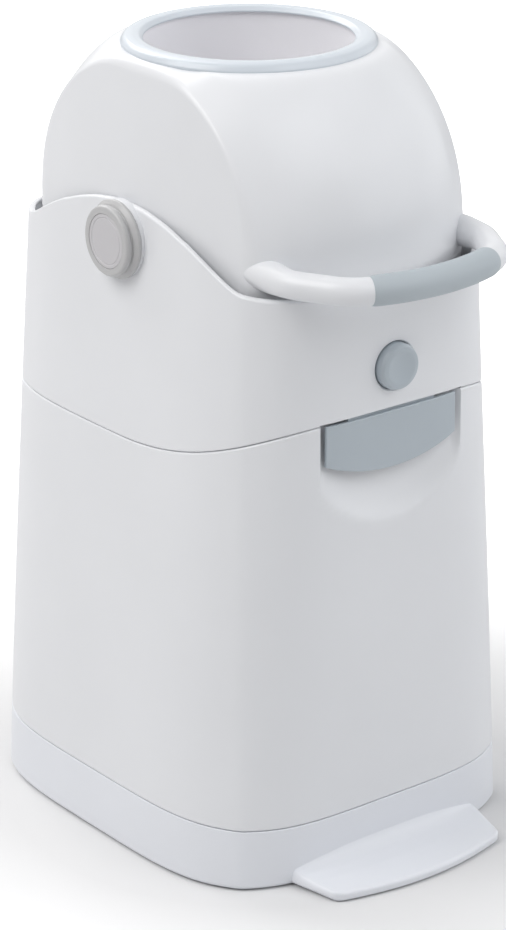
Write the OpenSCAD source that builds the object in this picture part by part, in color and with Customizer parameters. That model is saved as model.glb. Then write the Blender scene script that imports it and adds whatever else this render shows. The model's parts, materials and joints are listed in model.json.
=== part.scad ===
// Nappy bin with a flip-over drum.
// A nappy drops into the open chute, the handle swings the drum over,
// and the sliding piston pushes the nappy out into the bin below.
// The hood that carries the drum is hinged at the rear and latched at the front.

/* [Drum] */
// Length of the drum along its turning axis
drum_len = 230; // [220:1:236]
// Radius that the drum turns in
drum_r = 169.5; // [165:0.5:171]
// Distance from the turning axis to each flat end of the drum
drum_flat = 134.5; // [128:0.5:137]
// Wall of the drum shells
drum_wall = 3; // [2:0.1:4]
// How far below the axis the two drum shells meet
drum_split = 19; // [18:0.5:24]
// Height of the turning axis above the side seam
pivot_rise = 153; // [146:1:160]

/* [Chute and piston] */
// Inner radius of the chute
chute_r = 83; // [76:0.5:84]
// Wall of the chute
chute_wall = 2.5; // [2:0.1:3]
// How far the rim ring reaches in past the chute wall
rim_lip = 2.5; // [1.5:0.1:4]
// Outer radius of the rim ring
rim_r = 98; // [95:0.5:98]
// Height of the rim ring above the drum
rim_h = 5; // [3.5:0.1:7]
// Thickness of the piston
piston_t = 36; // [28:1:60]
// Play between the piston and the chute
piston_play = 0.6; // [0.3:0.1:1]

/* [Housing] */
// Wall of the hood, body and base
wall = 3; // [2.4:0.1:3.5]
// Squareness of the plan outline
plan_n = 4.12; // [3.6:0.02:5]
// Gap between the drum and the hood at the sides
side_gap = 4.1; // [3.8:0.1:6]
// Gap between the drum and the hood at the front and back
front_gap = 2.2; // [1.8:0.1:4]
// Slope of the side faces, in degrees
side_draft = 4.23; // [2:0.01:5]
// Slope of the front and back faces, in degrees
front_draft = 0.18; // [0:0.01:1]
// Height of the base band
base_h = 50; // [40:1:60]
// Height of the seam under the hood, along the sides
seam_h = 331; // [325:1:340]
// How far the seam rises towards the front
seam_rise = 41; // [30:1:45]
// Gap left at each seam
seam_gap = 0.5; // [0.3:0.1:0.8]
// Height of the hood's side peaks above the axis
peak_rise = 28; // [26:0.5:32]
// How far the hood's front rim lies below the axis
rim_drop = 15; // [15:0.5:20]
// Where the side peaks meet the level rim, from the axis
peak_reach = 137; // [130:1:142]
// Size of the rounded bead along the rim
bead = 4.4; // [3.4:0.1:4.6]

/* [Handle] */
// How far the middle of the handle reaches in front of the axis
handle_reach = 222; // [216:1:232]
// Radius of the handle's tube
handle_r = 10.5; // [9:0.5:11.5]
// Radius of the bow that carries the grip
bow_r = 165; // [150:1:180]
// Half angle of that bow
bow_angle = 20; // [18:0.5:21]
// Radius of the handle's knees
knee_r = 38; // [32:1:42]
// Angle at which the arms leave the knees
arm_angle = 61; // [56:1:66]
// Radius of the bend at the handle's roots
root_bend_r = 30; // [24:1:32]
// Radius of the handle's roots
root_r = 12; // [11:0.5:12.5]
// How far the grip stands out from the tube
grip_t = 0.9; // [0.6:0.1:1.4]

/* [Pivot knobs] */
// Radius of the pivot shafts
shaft_r = 12; // [9:0.5:12]
// Radius of the knob's rear flange
flange_r = 31.5; // [28:0.5:32]
// Radius of the knob's front disc
disc_r = 26; // [24:0.5:28]
// Radius of the cap in the knob's face
cap_r = 21; // [18:0.5:21.5]
// Thickness of the knob from flange to face
knob_t = 11.5; // [10:0.5:13]

/* [Button, lip and latch] */
// Height of the button's centre above the front seam
button_rise = 33; // [31:0.5:36]
// Radius of the button
button_r = 18.5; // [16:0.5:18.5]
// How far the button stands out
button_out = 5; // [3:0.5:6]
// Travel of the button
button_travel = 3; // [2:0.5:3]
// Width of the lifting lip
lip_w = 126; // [110:1:130]
// Height of the lifting lip at its ends
lip_side_h = 32; // [28:1:34]
// How much deeper the lip is in its middle
lip_bow = 13; // [8:1:16]
// Thickness of the lifting lip
lip_t = 2.8; // [2.4:0.1:3]
// How far the finger dish reaches from its middle
dish_reach = 83; // [81:1:86]
// Depth of the finger dish
dish_depth = 20; // [18:0.5:21]

/* [Base] */
// How far the toe plate reaches in front of the body
toe_reach = 49; // [35:1:52]
// Half width of the toe plate at its front corners
toe_half_w = 80; // [70:1:90]
// Thickness of the toe plate at its front edge
toe_t = 8.5; // [7:0.5:10]
// Height of the bin floor's underside
floor_z = 6; // [5:0.5:8]

/* [Hidden] */

$fn = 96;
fit = 0.05;            // running clearance of pins and shafts
play = 0.3;            // clearance of pieces that sit side by side
plan_steps = 80;       // points round a plan outline
hull_steps = 24;       // points along the drum's outline

far = 200;             // length of a cut that runs past the faces

white = [0.93, 0.94, 0.95];
grey = [0.66, 0.70, 0.73];
knob_grey = [0.70, 0.70, 0.70];
steel = [0.75, 0.76, 0.78];
black_rubber = [0.18, 0.18, 0.19];

pivot_z = seam_h + pivot_rise;
button_z = seam_h + seam_rise + button_rise;

// Plan outline of the housing at a height, drawn in by an inset
function half_w(z) = drum_len / 2 + side_gap + wall + tan(side_draft) * (pivot_z - z);
function half_d(z) = drum_r + front_gap + wall + tan(front_draft) * (pivot_z - z);
function radius_at(a, b, phi) =
    pow(pow(abs(cos(phi)) / a, plan_n) + pow(abs(sin(phi)) / b, plan_n), -1 / plan_n);
function plan_pt(z, inset, phi) =
    let(r = radius_at(half_w(z) - inset, half_d(z) - inset, phi)) [r * cos(phi), r * sin(phi), z];

// Point drawn in square to the plan outline by a distance
function plan_in(z, d, phi) =
    let(a = half_w(z), b = half_d(z), p = plan_pt(z, 0, phi),
        nx = sign(p[0]) * pow(abs(p[0]) / a, plan_n - 1) / a,
        ny = sign(p[1]) * pow(abs(p[1]) / b, plan_n - 1) / b, k = d / norm([nx, ny]))
    [p[0] - nx * k, p[1] - ny * k];

// Front face at mid width, and the rear face at a distance off mid width, at the seam
function front_y(z) = -half_d(z);
function plan_y(x) = half_d(seam_h) * pow(1 - pow(x / half_w(seam_h), plan_n), 1 / plan_n);

// The seam lies level along the sides and back and curves up to the front
seam_start = -5;
seam_run = half_d(seam_h) + seam_start;
seam_r = (pow(seam_run, 2) + pow(seam_rise, 2)) / (2 * seam_rise);
function seam_z(y) =
    y > seam_start ? seam_h
    : seam_h + seam_r - sqrt(pow(seam_r, 2) - pow(max(y, -seam_run + seam_start) - seam_start, 2));
seam_front = seam_h + seam_rise;

// The hood's rim peaks at the pivots
rim_low = pivot_z - rim_drop;
rim_high = pivot_z + peak_rise;
peak_fall = rim_high - rim_low;
peak_r = (pow(peak_reach, 2) + pow(peak_fall, 2)) / (2 * peak_fall);
function rim_z(y) =
    abs(y) > peak_reach ? rim_low : rim_high - peak_r + sqrt(pow(peak_r, 2) - pow(y, 2));

// The handle's centre line, from its bow to its roots
bow_y = -handle_reach + bow_r;
root_x = drum_len / 2 - root_r - 6.5;
bow_end = [-bow_r * sin(bow_angle), bow_y - bow_r * cos(bow_angle)];
knee_c = bow_end + knee_r * [sin(bow_angle), cos(bow_angle)];
knee_end = knee_c - knee_r * [sin(arm_angle), cos(arm_angle)];
arm_len = (knee_end[0] + root_bend_r * (sin(arm_angle) - 1) + root_x) / cos(arm_angle);
arm_end = knee_end + arm_len * [-cos(arm_angle), sin(arm_angle)];
root_c = arm_end + root_bend_r * [sin(arm_angle), cos(arm_angle)];
root_in = -drum_r * 0.66;

// The hinge behind the body
hinge_r = 8;
hinge_pin_r = 3;
hinge_y = half_d(seam_h) + hinge_r + 2.5;
hinge_half = 78;
lug_w = 16;
lug_h = 22;

// The object's box is centred on the origin, front to back
front_reach = handle_reach + handle_r + grip_t;
rear_reach = hinge_y + hinge_r;
centre_y = (front_reach - rear_reach) / 2;

// Finger dish: part of a sphere that meets the front face in a circle
dish_z = seam_front - 6;
dish_r = (pow(dish_reach, 2) + pow(dish_depth, 2)) / (2 * dish_depth);
dish_y = front_y(dish_z) - dish_r + dish_depth;
dish_side = lip_w / 2 + 2.5;

// Lifting lip
lip_inset = 0.6;
lip_top = seam_front - 2.5;
lip_tongue_w = lip_w - 42;
lip_screw_x = lip_tongue_w / 2 - 8;
lip_screw_l = 4.5;
lip_tongue_top = seam_front + 10;
lip_back = front_y(lip_top) + wall + play;

// Latch: the lever rocks on a pin between the button and the catch
frame_t = 2.5;
button_flange_t = 1.8;
button_flange_y = front_y(button_z) + wall + play;
frame_top = button_z + 9.5;
lever_pin_z = seam_front + 16;
lever_pin_y = button_flange_y + button_flange_t + button_travel + 2.85;
lever_pin_r = 1.5;
lever_hub_r = 2.5;
lever_half_w = 6;
pin_half = lever_half_w + 4;
lever_top = button_z + 2.5;
stem_gap = 0.7;
lever_t = 3.5;
frame_y = lever_pin_y + lever_t / 2 + button_travel + 0.05;
lever_y = lever_pin_y - 2.4;
hook_z = seam_front - 17;
hook_tip_y = dish_y + dish_r - 2.6;
boss_x = 28;
latch_screw_l = 9;

// Drum collar, a tilted plate in the hood
collar_t = 2.5;
hood_spigot_in = wall + 0.8;
hood_spigot_t = 2;
collar_inset = hood_spigot_in + hood_spigot_t + play;
collar_front_z = seam_front + 3.7;
collar_rear_z = seam_h + 6;
collar_run = half_d(seam_h) - wall;
collar_tilt = atan((collar_front_z - collar_rear_z) / (2 * collar_run));
seal_t = 3;
corner_phis = [54, 126, 234, 306];
boss_r = 6.5;
boss_inset = boss_r + wall - 0.7;
base_boss_r = 8;
base_boss_inset = base_boss_r + wall - 0.4;

rim_in_r = chute_r - rim_lip;
drum_hole_r = chute_r + chute_wall + 2.6;
post_r = 5;
post_ring = drum_hole_r + post_r + 0.5;
post_seat = 10;
post_screw_l = 28;
pad_r = flange_r - 1.5;
pad_x = half_w(pivot_z - pad_r) + 0.3;
pad_in_x = drum_len / 2 + 3.3;
knob_x = pad_x + 0.4;
bush_t = 3;
bush_flange = 6;
bush_flange_t = 1.5;
boss_end = drum_len / 2 - drum_wall - 14;

module placed() translate([0, centre_y, 0]) children();

module along_x(x0, x1) translate([x0, 0, 0]) rotate([90, 0, 90]) linear_extrude(x1 - x0) children();
module along_y(y0, y1) translate([0, y1, 0]) rotate([90, 0, 0]) linear_extrude(y1 - y0) children();

// A round piece along X on the pivot axis, mirrored to side -1 or 1
module on_pivot(side)
    translate([0, 0, pivot_z]) mirror([side < 0 ? 1 : 0, 0, 0]) rotate([0, 90, 0]) children();

// Closed wall round the plan: loop(y) gives [inset, z] pairs, outer face upwards first
module plan_wall(loop) {
    rows = [for (i = [0:plan_steps - 1])
        let(phi = 360 * i / plan_steps, y = plan_pt(seam_h, 0, phi)[1])
        [for (q = loop(y)) plan_pt(q[1], q[0], phi)]];
    n = plan_steps;
    m = len(rows[0]);
    polyhedron([for (r = rows) each r],
        [for (i = [0:n - 1]) for (j = [0:m - 1])
            let(a = i * m + j, b = i * m + (j + 1) % m,
                c = ((i + 1) % n) * m + (j + 1) % m, d = ((i + 1) % n) * m + j)
            each [[a, b, c], [a, c, d]]], convexity = 10);
}

// Solid housing form between two heights
module plan_solid(z0, z1, inset) {
    n = plan_steps;
    low = [for (i = [0:n - 1]) plan_pt(z0, inset, 360 * i / n)];
    high = [for (i = [0:n - 1]) plan_pt(z1, inset, 360 * i / n)];
    polyhedron(concat(low, high),
        concat([[for (i = [0:n - 1]) i]], [[for (i = [0:n - 1]) 2 * n - 1 - i]],
            [for (i = [0:n - 1]) let(k = (i + 1) % n) each [[i, n + i, n + k], [i, n + k, k]]]),
        convexity = 4);
}

// The drum's form, a body of revolution about the pivot axis
module drum_form(grow) {
    l = drum_len / 2 + grow;
    r = drum_r + grow;
    profile = [for (i = [0:hull_steps])
        let(phi = -90 + 180 * i / hull_steps, k = radius_at(r, l, phi)) [k * cos(phi), k * sin(phi)]];
    translate([0, 0, pivot_z]) rotate([0, 90, 0]) rotate_extrude() polygon(profile);
}

module slab(z0, z1, reach = 200) translate([-reach, -reach, z0]) cube([2 * reach, 2 * reach, z1 - z0]);

// Places children on the collar's underside at each corner boss, square to the plate
module at_collar_corners()
    for (phi = corner_phis) {
        p = plan_in(seam_front, boss_inset, phi);
        translate([p[0], p[1], collar_z(p[1])]) rotate([-collar_tilt, 0, 0]) children();
    }
function collar_z(y) = collar_rear_z + (collar_run - y) * tan(collar_tilt);

module collar_slab(z0, z1, reach)
    along_x(-reach, reach)
        polygon([[-200, collar_z(-200) + z0], [200, collar_z(200) + z0],
            [200, collar_z(200) + z1], [-200, collar_z(-200) + z1]]);

module at_base_corners()
    for (phi = corner_phis) {
        p = plan_in(base_h + spigot_h, base_boss_inset, phi);
        translate([p[0], p[1], 0]) children();
    }

module screw(r, length, head_r, head_h) {
    cylinder(r = r, h = length);
    translate([0, 0, -head_h]) cylinder(r = head_r, h = head_h);
}

// Base

base_bottom = 1.2;
spigot_h = 14;
spigot_in = wall + play;
spigot_t = 2.5;
foot_x = 104;
foot_y = 112;
foot_r = 11;
base_screw_r = 2;
base_screw_l = 34;
screw_seat = base_h - 8;
rib_t = 2;
rib_x = 62;
rib_y = 70;
rib_x_end = half_w(0) - 40;
rib_y_end = half_d(0) - 40;

module toe_plate() {
    toe_front = front_y(0) - toe_reach;
    corner_y = toe_front + 14;
    bow = (pow(toe_half_w, 2) + 100) / 20;
    root_y = front_y(0) + 6.5;
    intersection() {
        translate([0, 0, base_bottom]) linear_extrude(30) intersection() {
            polygon([[-toe_half_w - 16, root_y], [-toe_half_w - 14, front_y(0) - 2],
                [-toe_half_w, corner_y], [-toe_half_w + 10, toe_front - 1],
                [toe_half_w - 10, toe_front - 1], [toe_half_w, corner_y],
                [toe_half_w + 14, front_y(0) - 2], [toe_half_w + 16, root_y]]);
            translate([0, toe_front + bow]) circle(r = bow, $fn = 200);
        }
        along_x(-toe_half_w - 20, toe_half_w + 20)
            polygon([[toe_front - 1, base_bottom - 1], [toe_front - 1, toe_t - 2], [toe_front + 2, toe_t],
                [front_y(0) - 8, toe_t + 3.5], [front_y(0) - 3, toe_t + 5.5], [front_y(0), toe_t + 10],
                [front_y(0) + 2.2, toe_t + 10], [root_y - 0.5, base_bottom - 1]]);
    }
}

module base() color(white) placed() {
    top = base_h - seam_gap / 2;
    difference() {
        union() {
            plan_wall(function(y) [[5, base_bottom], [1.5, base_bottom + 2.5], [0, base_bottom + 8],
                [0, top], [spigot_in, top], [spigot_in, base_h + spigot_h],
                [spigot_in + spigot_t, base_h + spigot_h], [spigot_in + spigot_t, base_h - 12],
                [wall, base_h - 16], [wall + 1.2, base_bottom + 8], [wall + 4.5, base_bottom]]);
            plan_solid(floor_z, floor_z + wall, wall * 0.8);
            at_base_corners() translate([0, 0, floor_z + 0.5])
                cylinder(r = boss_r, h = base_h + spigot_h - floor_z - 1);
            for (s = [-1, 1]) {
                translate([s * rib_x - rib_t / 2, -rib_y_end, base_bottom + 1])
                    cube([rib_t, 2 * rib_y_end, floor_z - base_bottom]);
                translate([-rib_x_end, s * rib_y - rib_t / 2, base_bottom + 1.3])
                    cube([2 * rib_x_end, rib_t, floor_z - base_bottom]);
            }
            toe_plate();
        }
        at_base_corners() {
            translate([0, 0, floor_z - 1]) cylinder(r = 4.6, h = screw_seat - floor_z + 1);
            cylinder(r = base_screw_r + 0.2, h = base_h + spigot_h + 1);
        }
        for (sx = [-1, 1], sy = [-1, 1])
            translate([sx * foot_x, sy * foot_y, 0]) cylinder(r = foot_r + play, h = floor_z);
    }
}

module feet() color(black_rubber) placed()
    for (sx = [-1, 1], sy = [-1, 1])
        translate([sx * foot_x, sy * foot_y, 0]) cylinder(r = foot_r, h = floor_z);

module base_screws() color(steel) placed()
    at_base_corners() translate([0, 0, screw_seat]) screw(base_screw_r, base_screw_l, 4, 2.5);

// Bin body

module dish(grow) translate([0, dish_y, dish_z]) sphere(r = dish_r + grow, $fn = 128);

module catch_window(grow)
    translate([-lever_half_w - 3 - grow, dish_y + dish_r - 12, hook_z - 5 - grow])
        cube([2 * (lever_half_w + 3 + grow), 30, 12 + 2 * grow]);

catch_y = dish_y + dish_r + wall + 3;

// A lug of the rear hinge, rooted in the wall where its outer end lies
module hinge_lug(x0, x1, side) {
    root_0 = plan_y(abs(x0)) - wall / 2;
    root_1 = plan_y(abs(x1)) - wall / 2;
    inner = min(root_0, root_1) - 1;
    intersection() {
        along_x(x0, x1) difference() {
            union() {
                translate([hinge_y, seam_h]) circle(r = hinge_r);
                polygon([[inner, seam_h + side * lug_h], [inner, seam_h + side * seam_gap],
                    [hinge_y, seam_h + side * seam_gap],
                    [hinge_y + hinge_r * 0.7, seam_h + side * hinge_r * 0.7]]);
            }
            translate([hinge_y, seam_h]) circle(r = hinge_pin_r + fit);
        }
        translate([0, 0, seam_h - lug_h - 1]) linear_extrude(2 * lug_h + 2)
            polygon([[x0, root_0], [x1, root_1], [x1, hinge_y + hinge_r + 1], [x0, hinge_y + hinge_r + 1]]);
    }
}

module bin_body() color(white) placed() {
    top = seam_gap / 2;
    bottom = base_h + seam_gap / 2;
    difference() {
        union() {
            plan_wall(function(y) [[0, bottom], [0, seam_z(y) - top - 0.8], [0.8, seam_z(y) - top],
                [wall, seam_z(y) - top], [wall, bottom]]);
            intersection() {
                plan_solid(seam_h - 60, seam_front - top, wall / 2);
                dish(wall);
                translate([-dish_side - wall, -far, seam_front - 96])
                    cube([2 * (dish_side + wall), far / 2, 96 - top]);
            }
            translate([-20, catch_y - 6, hook_z - 15]) cube([40, 6, 30]);
            at_base_corners() translate([0, 0, base_h + spigot_h + play]) cylinder(r = base_boss_r, h = 20);
            hinge_lug(hinge_half - lug_w, hinge_half, -1);
            hinge_lug(-hinge_half, lug_w - hinge_half, -1);
        }
        intersection() {
            dish(0);
            translate([-dish_side, -far, seam_front - 96]) cube([2 * dish_side, far / 2, 120]);
        }
        catch_window(0);
        for (s = [-1, 1])
            translate([s * 15, catch_y - 4, hook_z + 8]) rotate([-90, 0, 0]) cylinder(r = 1.55, h = 5);
        at_base_corners() cylinder(r = base_screw_r + fit, h = screw_seat + base_screw_l + 4);
    }
}

module catch_plate() color(steel) placed()
    difference() {
        translate([-20, catch_y, hook_z - 15]) cube([40, 1.5, 30]);
        catch_window(-1);
        for (s = [-1, 1])
            translate([s * 15, catch_y - 1, hook_z + 8]) rotate([-90, 0, 0]) cylinder(r = 1.7, h = 4);
    }

module catch_screws() color(steel) placed()
    for (s = [-1, 1])
        translate([s * 15, catch_y + 1.5, hook_z + 8]) rotate([90, 0, 0]) screw(1.5, 5, 2.8, 1.6);

module hinge_pin() color(steel) placed()
    translate([-hinge_half - 2, hinge_y, seam_h]) rotate([0, 90, 0])
        cylinder(r = hinge_pin_r, h = 2 * hinge_half + 4);

// Hood

module hood_shell() color(white) placed() {
    low = seam_gap / 2;
    difference() {
        union() {
            plan_wall(function(y) [[0.8, seam_z(y) + low], [0, seam_z(y) + low + 0.8],
                [0, rim_z(y) - bead], [bead * 0.1, rim_z(y) - bead * 0.55],
                [bead * 0.35, rim_z(y) - bead * 0.2], [bead * 0.75, rim_z(y)],
                [bead, rim_z(y) - bead * 0.3], [wall, rim_z(y) - bead],
                [wall, seam_z(y) + 8], [hood_spigot_in + hood_spigot_t, seam_z(y) + 5],
                [hood_spigot_in + hood_spigot_t, seam_z(y) - 4.5], [hood_spigot_in, seam_z(y) - 4.5],
                [hood_spigot_in, seam_z(y) + low]]);
            for (side = [-1, 1])
                on_pivot(side) translate([0, 0, pad_in_x]) cylinder(r = pad_r, h = pad_x - pad_in_x);
            difference() {
                at_collar_corners() translate([0, 0, collar_t + play]) cylinder(r = boss_r, h = 26);
                collar_slab(-20, collar_t + 0.1, far);
            }
            for (s = [-1, 1], z = [button_z - 12, button_z + 6])
                translate([s * boss_x, front_y(z) + 1, z]) rotate([-90, 0, 0])
                    cylinder(r = 4, h = frame_y - front_y(z) - 1);
            hinge_lug(lug_w - hinge_half + play, hinge_half - lug_w - play, 1);
        }
        // room in front for the lip and the latch lever
        translate([-dish_side - wall - play, -far, seam_h])
            cube([2 * (dish_side + wall + play), 60, seam_rise + low]);
        translate([-lip_tongue_w / 2 - 1, lip_back - 0.1, seam_h])
            cube([lip_tongue_w + 2, 20, lip_tongue_top - seam_h + 1]);
        translate([0, front_y(button_z) - 1, button_z]) rotate([-90, 0, 0])
            cylinder(r = button_r + 0.4, h = 12);
        for (side = [-1, 1]) on_pivot(side) {
            translate([0, 0, pad_in_x - 1]) cylinder(r = shaft_r + bush_t, h = pad_x - pad_in_x + 2);
            translate([0, 0, pad_x - bush_flange_t])
                cylinder(r = shaft_r + bush_flange, h = bush_flange_t + 1);
        }
        at_collar_corners() cylinder(r = 1.55, h = 16);
        for (s = [-1, 1], z = [button_z - 12, button_z + 6])
            translate([s * boss_x, frame_y + frame_t - latch_screw_l - 1.5, z]) rotate([-90, 0, 0])
                cylinder(r = 1.3, h = latch_screw_l);
        for (s = [-1, 1])
            translate([s * lip_screw_x, lip_back - 2.6, lip_tongue_top - 5]) rotate([-90, 0, 0])
                cylinder(r = 1.3, h = 3);
    }
}

module hood_collar() color(white) placed()
    difference() {
        intersection() {
            collar_slab(0, collar_t, half_w(0));
            plan_solid(seam_h, seam_front + 20, collar_inset);
        }
        drum_form(1.5);
        translate([-lever_half_w - 4, -far, seam_h])
            cube([2 * lever_half_w + 8, far + hook_tip_y + 7.7, 2 * seam_rise]);
        translate([-lip_tongue_w / 2 - 2, -far, seam_h])
            cube([lip_tongue_w + 4, far + lip_back + lip_t + 2, 2 * seam_rise]);
        at_collar_corners() translate([0, 0, -1]) cylinder(r = 1.8, h = 6);
    }

module collar_screws() color(steel) placed()
    at_collar_corners() screw(1.5, 14, 3.2, 2);

module drum_seal() color(black_rubber) placed()
    difference() {
        intersection() {
            collar_slab(collar_t, collar_t + seal_t, half_w(0));
            drum_form(7);
        }
        drum_form(0.6);
    }

module lift_lip() color(grey) placed() {
    lip_low = lip_top - lip_side_h;
    arc = (pow(lip_w / 2, 2) + pow(lip_bow, 2)) / (2 * lip_bow);
    intersection() {
        plan_wall(function(y) [[lip_inset, seam_h - 40], [lip_inset, seam_front + 4],
            [lip_inset + lip_t, seam_front + 4], [lip_inset + lip_t, seam_h - 40]]);
        along_y(-200, -100) union() {
            translate([-lip_w / 2, lip_low]) square([lip_w, lip_side_h]);
            intersection() {
                translate([0, lip_low - lip_bow + arc]) circle(r = arc, $fn = 200);
                translate([-lip_w / 2, lip_low - lip_bow - 1]) square([lip_w, lip_bow + 1.01]);
            }
        }
    }
    difference() {
        translate([-lip_tongue_w / 2, lip_back, lip_top - 4])
            cube([lip_tongue_w, lip_t - 0.7, lip_tongue_top - lip_top + 4]);
        for (s = [-1, 1])
            translate([s * lip_screw_x, lip_back - 1, lip_tongue_top - 5]) rotate([-90, 0, 0])
                cylinder(r = 1.5, h = 5);
    }
}

module lip_screws() color(steel) placed()
    for (s = [-1, 1])
        translate([s * lip_screw_x, lip_back + lip_t - 0.7, lip_tongue_top - 5]) rotate([90, 0, 0])
            screw(1.25, lip_screw_l, 2.4, 1.2);

module bush(side) color(steel) placed() on_pivot(side)
    difference() {
        union() {
            translate([0, 0, pad_in_x]) cylinder(r = shaft_r + bush_t - fit, h = pad_x - pad_in_x);
            translate([0, 0, pad_x - bush_flange_t + fit])
                cylinder(r = shaft_r + bush_flange - fit, h = bush_flange_t);
        }
        translate([0, 0, pad_in_x - 1]) cylinder(r = shaft_r + fit, h = pad_x - pad_in_x + 3);
    }
module bush_left() bush(-1);
module bush_right() bush(1);

// Latch

module latch_frame() color(white) placed()
    difference() {
        union() {
            translate([-boss_x - 5, frame_y, lever_pin_z - 4])
                cube([2 * boss_x + 10, frame_t, frame_top - lever_pin_z + 4]);
            for (s = [-1, 1])
                translate([s * (lever_half_w + 1.6) - 1.2, lever_pin_y - lever_hub_r, lever_pin_z - 4])
                    cube([2.4, frame_y - lever_pin_y + lever_hub_r + 0.5, 8]);
        }
        translate([-pin_half - 1, lever_pin_y, lever_pin_z]) rotate([0, 90, 0])
            cylinder(r = lever_pin_r + fit, h = 2 * pin_half + 2);
        for (s = [-1, 1], z = [button_z - 12, button_z + 6])
            translate([s * boss_x, frame_y - 1, z]) rotate([-90, 0, 0]) cylinder(r = 1.6, h = frame_t + 2);
    }

module latch_screws() color(steel) placed()
    for (s = [-1, 1], z = [button_z - 12, button_z + 6])
        translate([s * boss_x, frame_y + frame_t, z]) rotate([90, 0, 0])
            screw(1.25, latch_screw_l, 2.6, 1.4);

module latch_pin() color(steel) placed()
    translate([-pin_half, lever_pin_y, lever_pin_z]) rotate([0, 90, 0])
        cylinder(r = lever_pin_r, h = 2 * pin_half);

module latch_lever() color(white) placed()
    along_x(-lever_half_w, lever_half_w) difference() {
        union() {
            translate([lever_pin_y, lever_pin_z]) circle(r = lever_hub_r);
            translate([lever_y, lever_pin_z]) square([lever_t, lever_top - lever_pin_z]);
            translate([lever_y + 1.5, hook_z - 3]) square([lever_t, lever_pin_z - hook_z + 3]);
            polygon([[lever_y + 1.5, hook_z - 3], [hook_tip_y, hook_z], [hook_tip_y, hook_z + 3],
                [lever_y + 1.5 + lever_t, hook_z + 4]]);
        }
        translate([lever_pin_y, lever_pin_z]) circle(r = lever_pin_r + fit);
    }

module release_button() color(grey) placed() translate([0, 0, button_z]) rotate([90, 0, 0]) {
    back = -button_flange_y - button_flange_t;
    face = -front_y(button_z) + button_out;
    rotate_extrude() difference() {
        polygon([[0, -lever_y + stem_gap], [2, -lever_y + stem_gap], [2, back], [button_r + 2.5, back],
            [button_r + 2.5, -button_flange_y], [button_r, -button_flange_y],
            [button_r, face - 3.2], [button_r - 0.9, face - 1.2], [button_r - 2.8, face],
            [button_r - 5.4, face + 0.2], [0, face + 0.2]]);
        translate([0, face + 60]) circle(r = 61.2, $fn = 360);
    }
}

spring_r = 3.4;
spring_wire = 0.45;
spring_turns = 5;
module coil_spring(length) {
    ring = 8;
    steps = 12;
    count = spring_turns * steps;
    rows = [for (i = [0:count])
        let(t = 360 * i / steps, z = spring_wire + (length - 2 * spring_wire) * i / count)
        [for (k = [0:ring - 1]) let(q = -360 * k / ring, r = spring_r + spring_wire * cos(q))
            [r * cos(t), r * sin(t), z + spring_wire * sin(q)]]];
    polyhedron([for (r = rows) each r],
        concat([[for (k = [0:ring - 1]) ring - 1 - k]], [[for (k = [0:ring - 1]) count * ring + k]],
            [for (i = [0:count - 1], k = [0:ring - 1])
                let(a = i * ring + k, b = i * ring + (k + 1) % ring) each
                [[a, b, b + ring], [a, b + ring, a + ring]]]), convexity = 8);
}
module button_springs() color(steel) placed() {
    start = button_flange_y + button_flange_t + 0.15;
    for (s = [-1, 1])
        translate([s * 12.5, start, button_z]) rotate([-90, 0, 0]) coil_spring(frame_y - start - 0.15);
}

// Drum

module handle_bow(r, extra)
    translate([0, bow_y, pivot_z]) rotate([0, 0, 270 - bow_angle - extra])
        rotate_extrude(angle = 2 * (bow_angle + extra)) translate([bow_r, 0]) circle(r = r);

// The straight pieces are a hair slimmer than the bends and enter them
module handle_arm() {
    slim_r = handle_r - 0.05;
    enter = 1;
    translate([knee_c[0], knee_c[1], pivot_z]) rotate([0, 0, 270 - arm_angle])
        rotate_extrude(angle = arm_angle - bow_angle) translate([knee_r, 0]) circle(r = handle_r);
    translate([knee_end[0], knee_end[1], pivot_z]) rotate([0, 0, 180 - arm_angle]) rotate([0, 90, 0])
        translate([0, 0, -enter]) cylinder(r = slim_r, h = arm_len + 2 * enter);
    translate([root_c[0], root_c[1], pivot_z]) rotate([0, 0, 180])
        rotate_extrude(angle = 90 - arm_angle) translate([root_bend_r, 0]) circle(r = handle_r);
    translate([-root_x, root_c[1], pivot_z]) rotate([-90, 0, 0]) rotate_extrude()
        polygon([[0, -enter], [slim_r, -enter], [slim_r, 3], [root_r, 20], [root_r, root_in - root_c[1]],
            [0, root_in - root_c[1]]]);
}

module handle_core() {
    handle_bow(handle_r - 0.05, 0.4);
    handle_arm();
    mirror([1, 0, 0]) handle_arm();
}

module drum_posts(z0, z1)
    for (a = [45:90:315]) rotate([0, 0, a]) translate([post_ring, 0, z0]) cylinder(r = post_r, h = z1 - z0);

split_z = pivot_z - drum_split;
module drum_upper() color(white) placed()
    difference() {
        union() {
            difference() {
                union() {
                    intersection() {
                        drum_form(0);
                        slab(split_z + play / 2, pivot_z + drum_flat);
                    }
                    handle_core();
                }
                intersection() {
                    drum_form(-drum_wall);
                    slab(split_z - 1, pivot_z + drum_flat - drum_wall);
                }
            }
            for (side = [-1, 1])
                on_pivot(side) translate([0, 0, boss_end]) cylinder(r = shaft_r + 4.5, h = 15);
            drum_posts(split_z + play / 2, pivot_z + drum_flat - 1);
        }
        translate([0, 0, pivot_z]) cylinder(r = drum_hole_r, h = drum_flat + 1);
        for (side = [-1, 1]) on_pivot(side) {
            translate([0, 0, boss_end + 3]) cylinder(r = shaft_r + fit, h = 40);
            translate([0, 0, boss_end - 1]) cylinder(r = 2.45, h = 6);
        }
        for (a = [45:90:315]) rotate([0, 0, a]) translate([post_ring, 0, split_z - 1])
            cylinder(r = 1.55, h = post_screw_l - post_seat + 4);
    }

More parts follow.
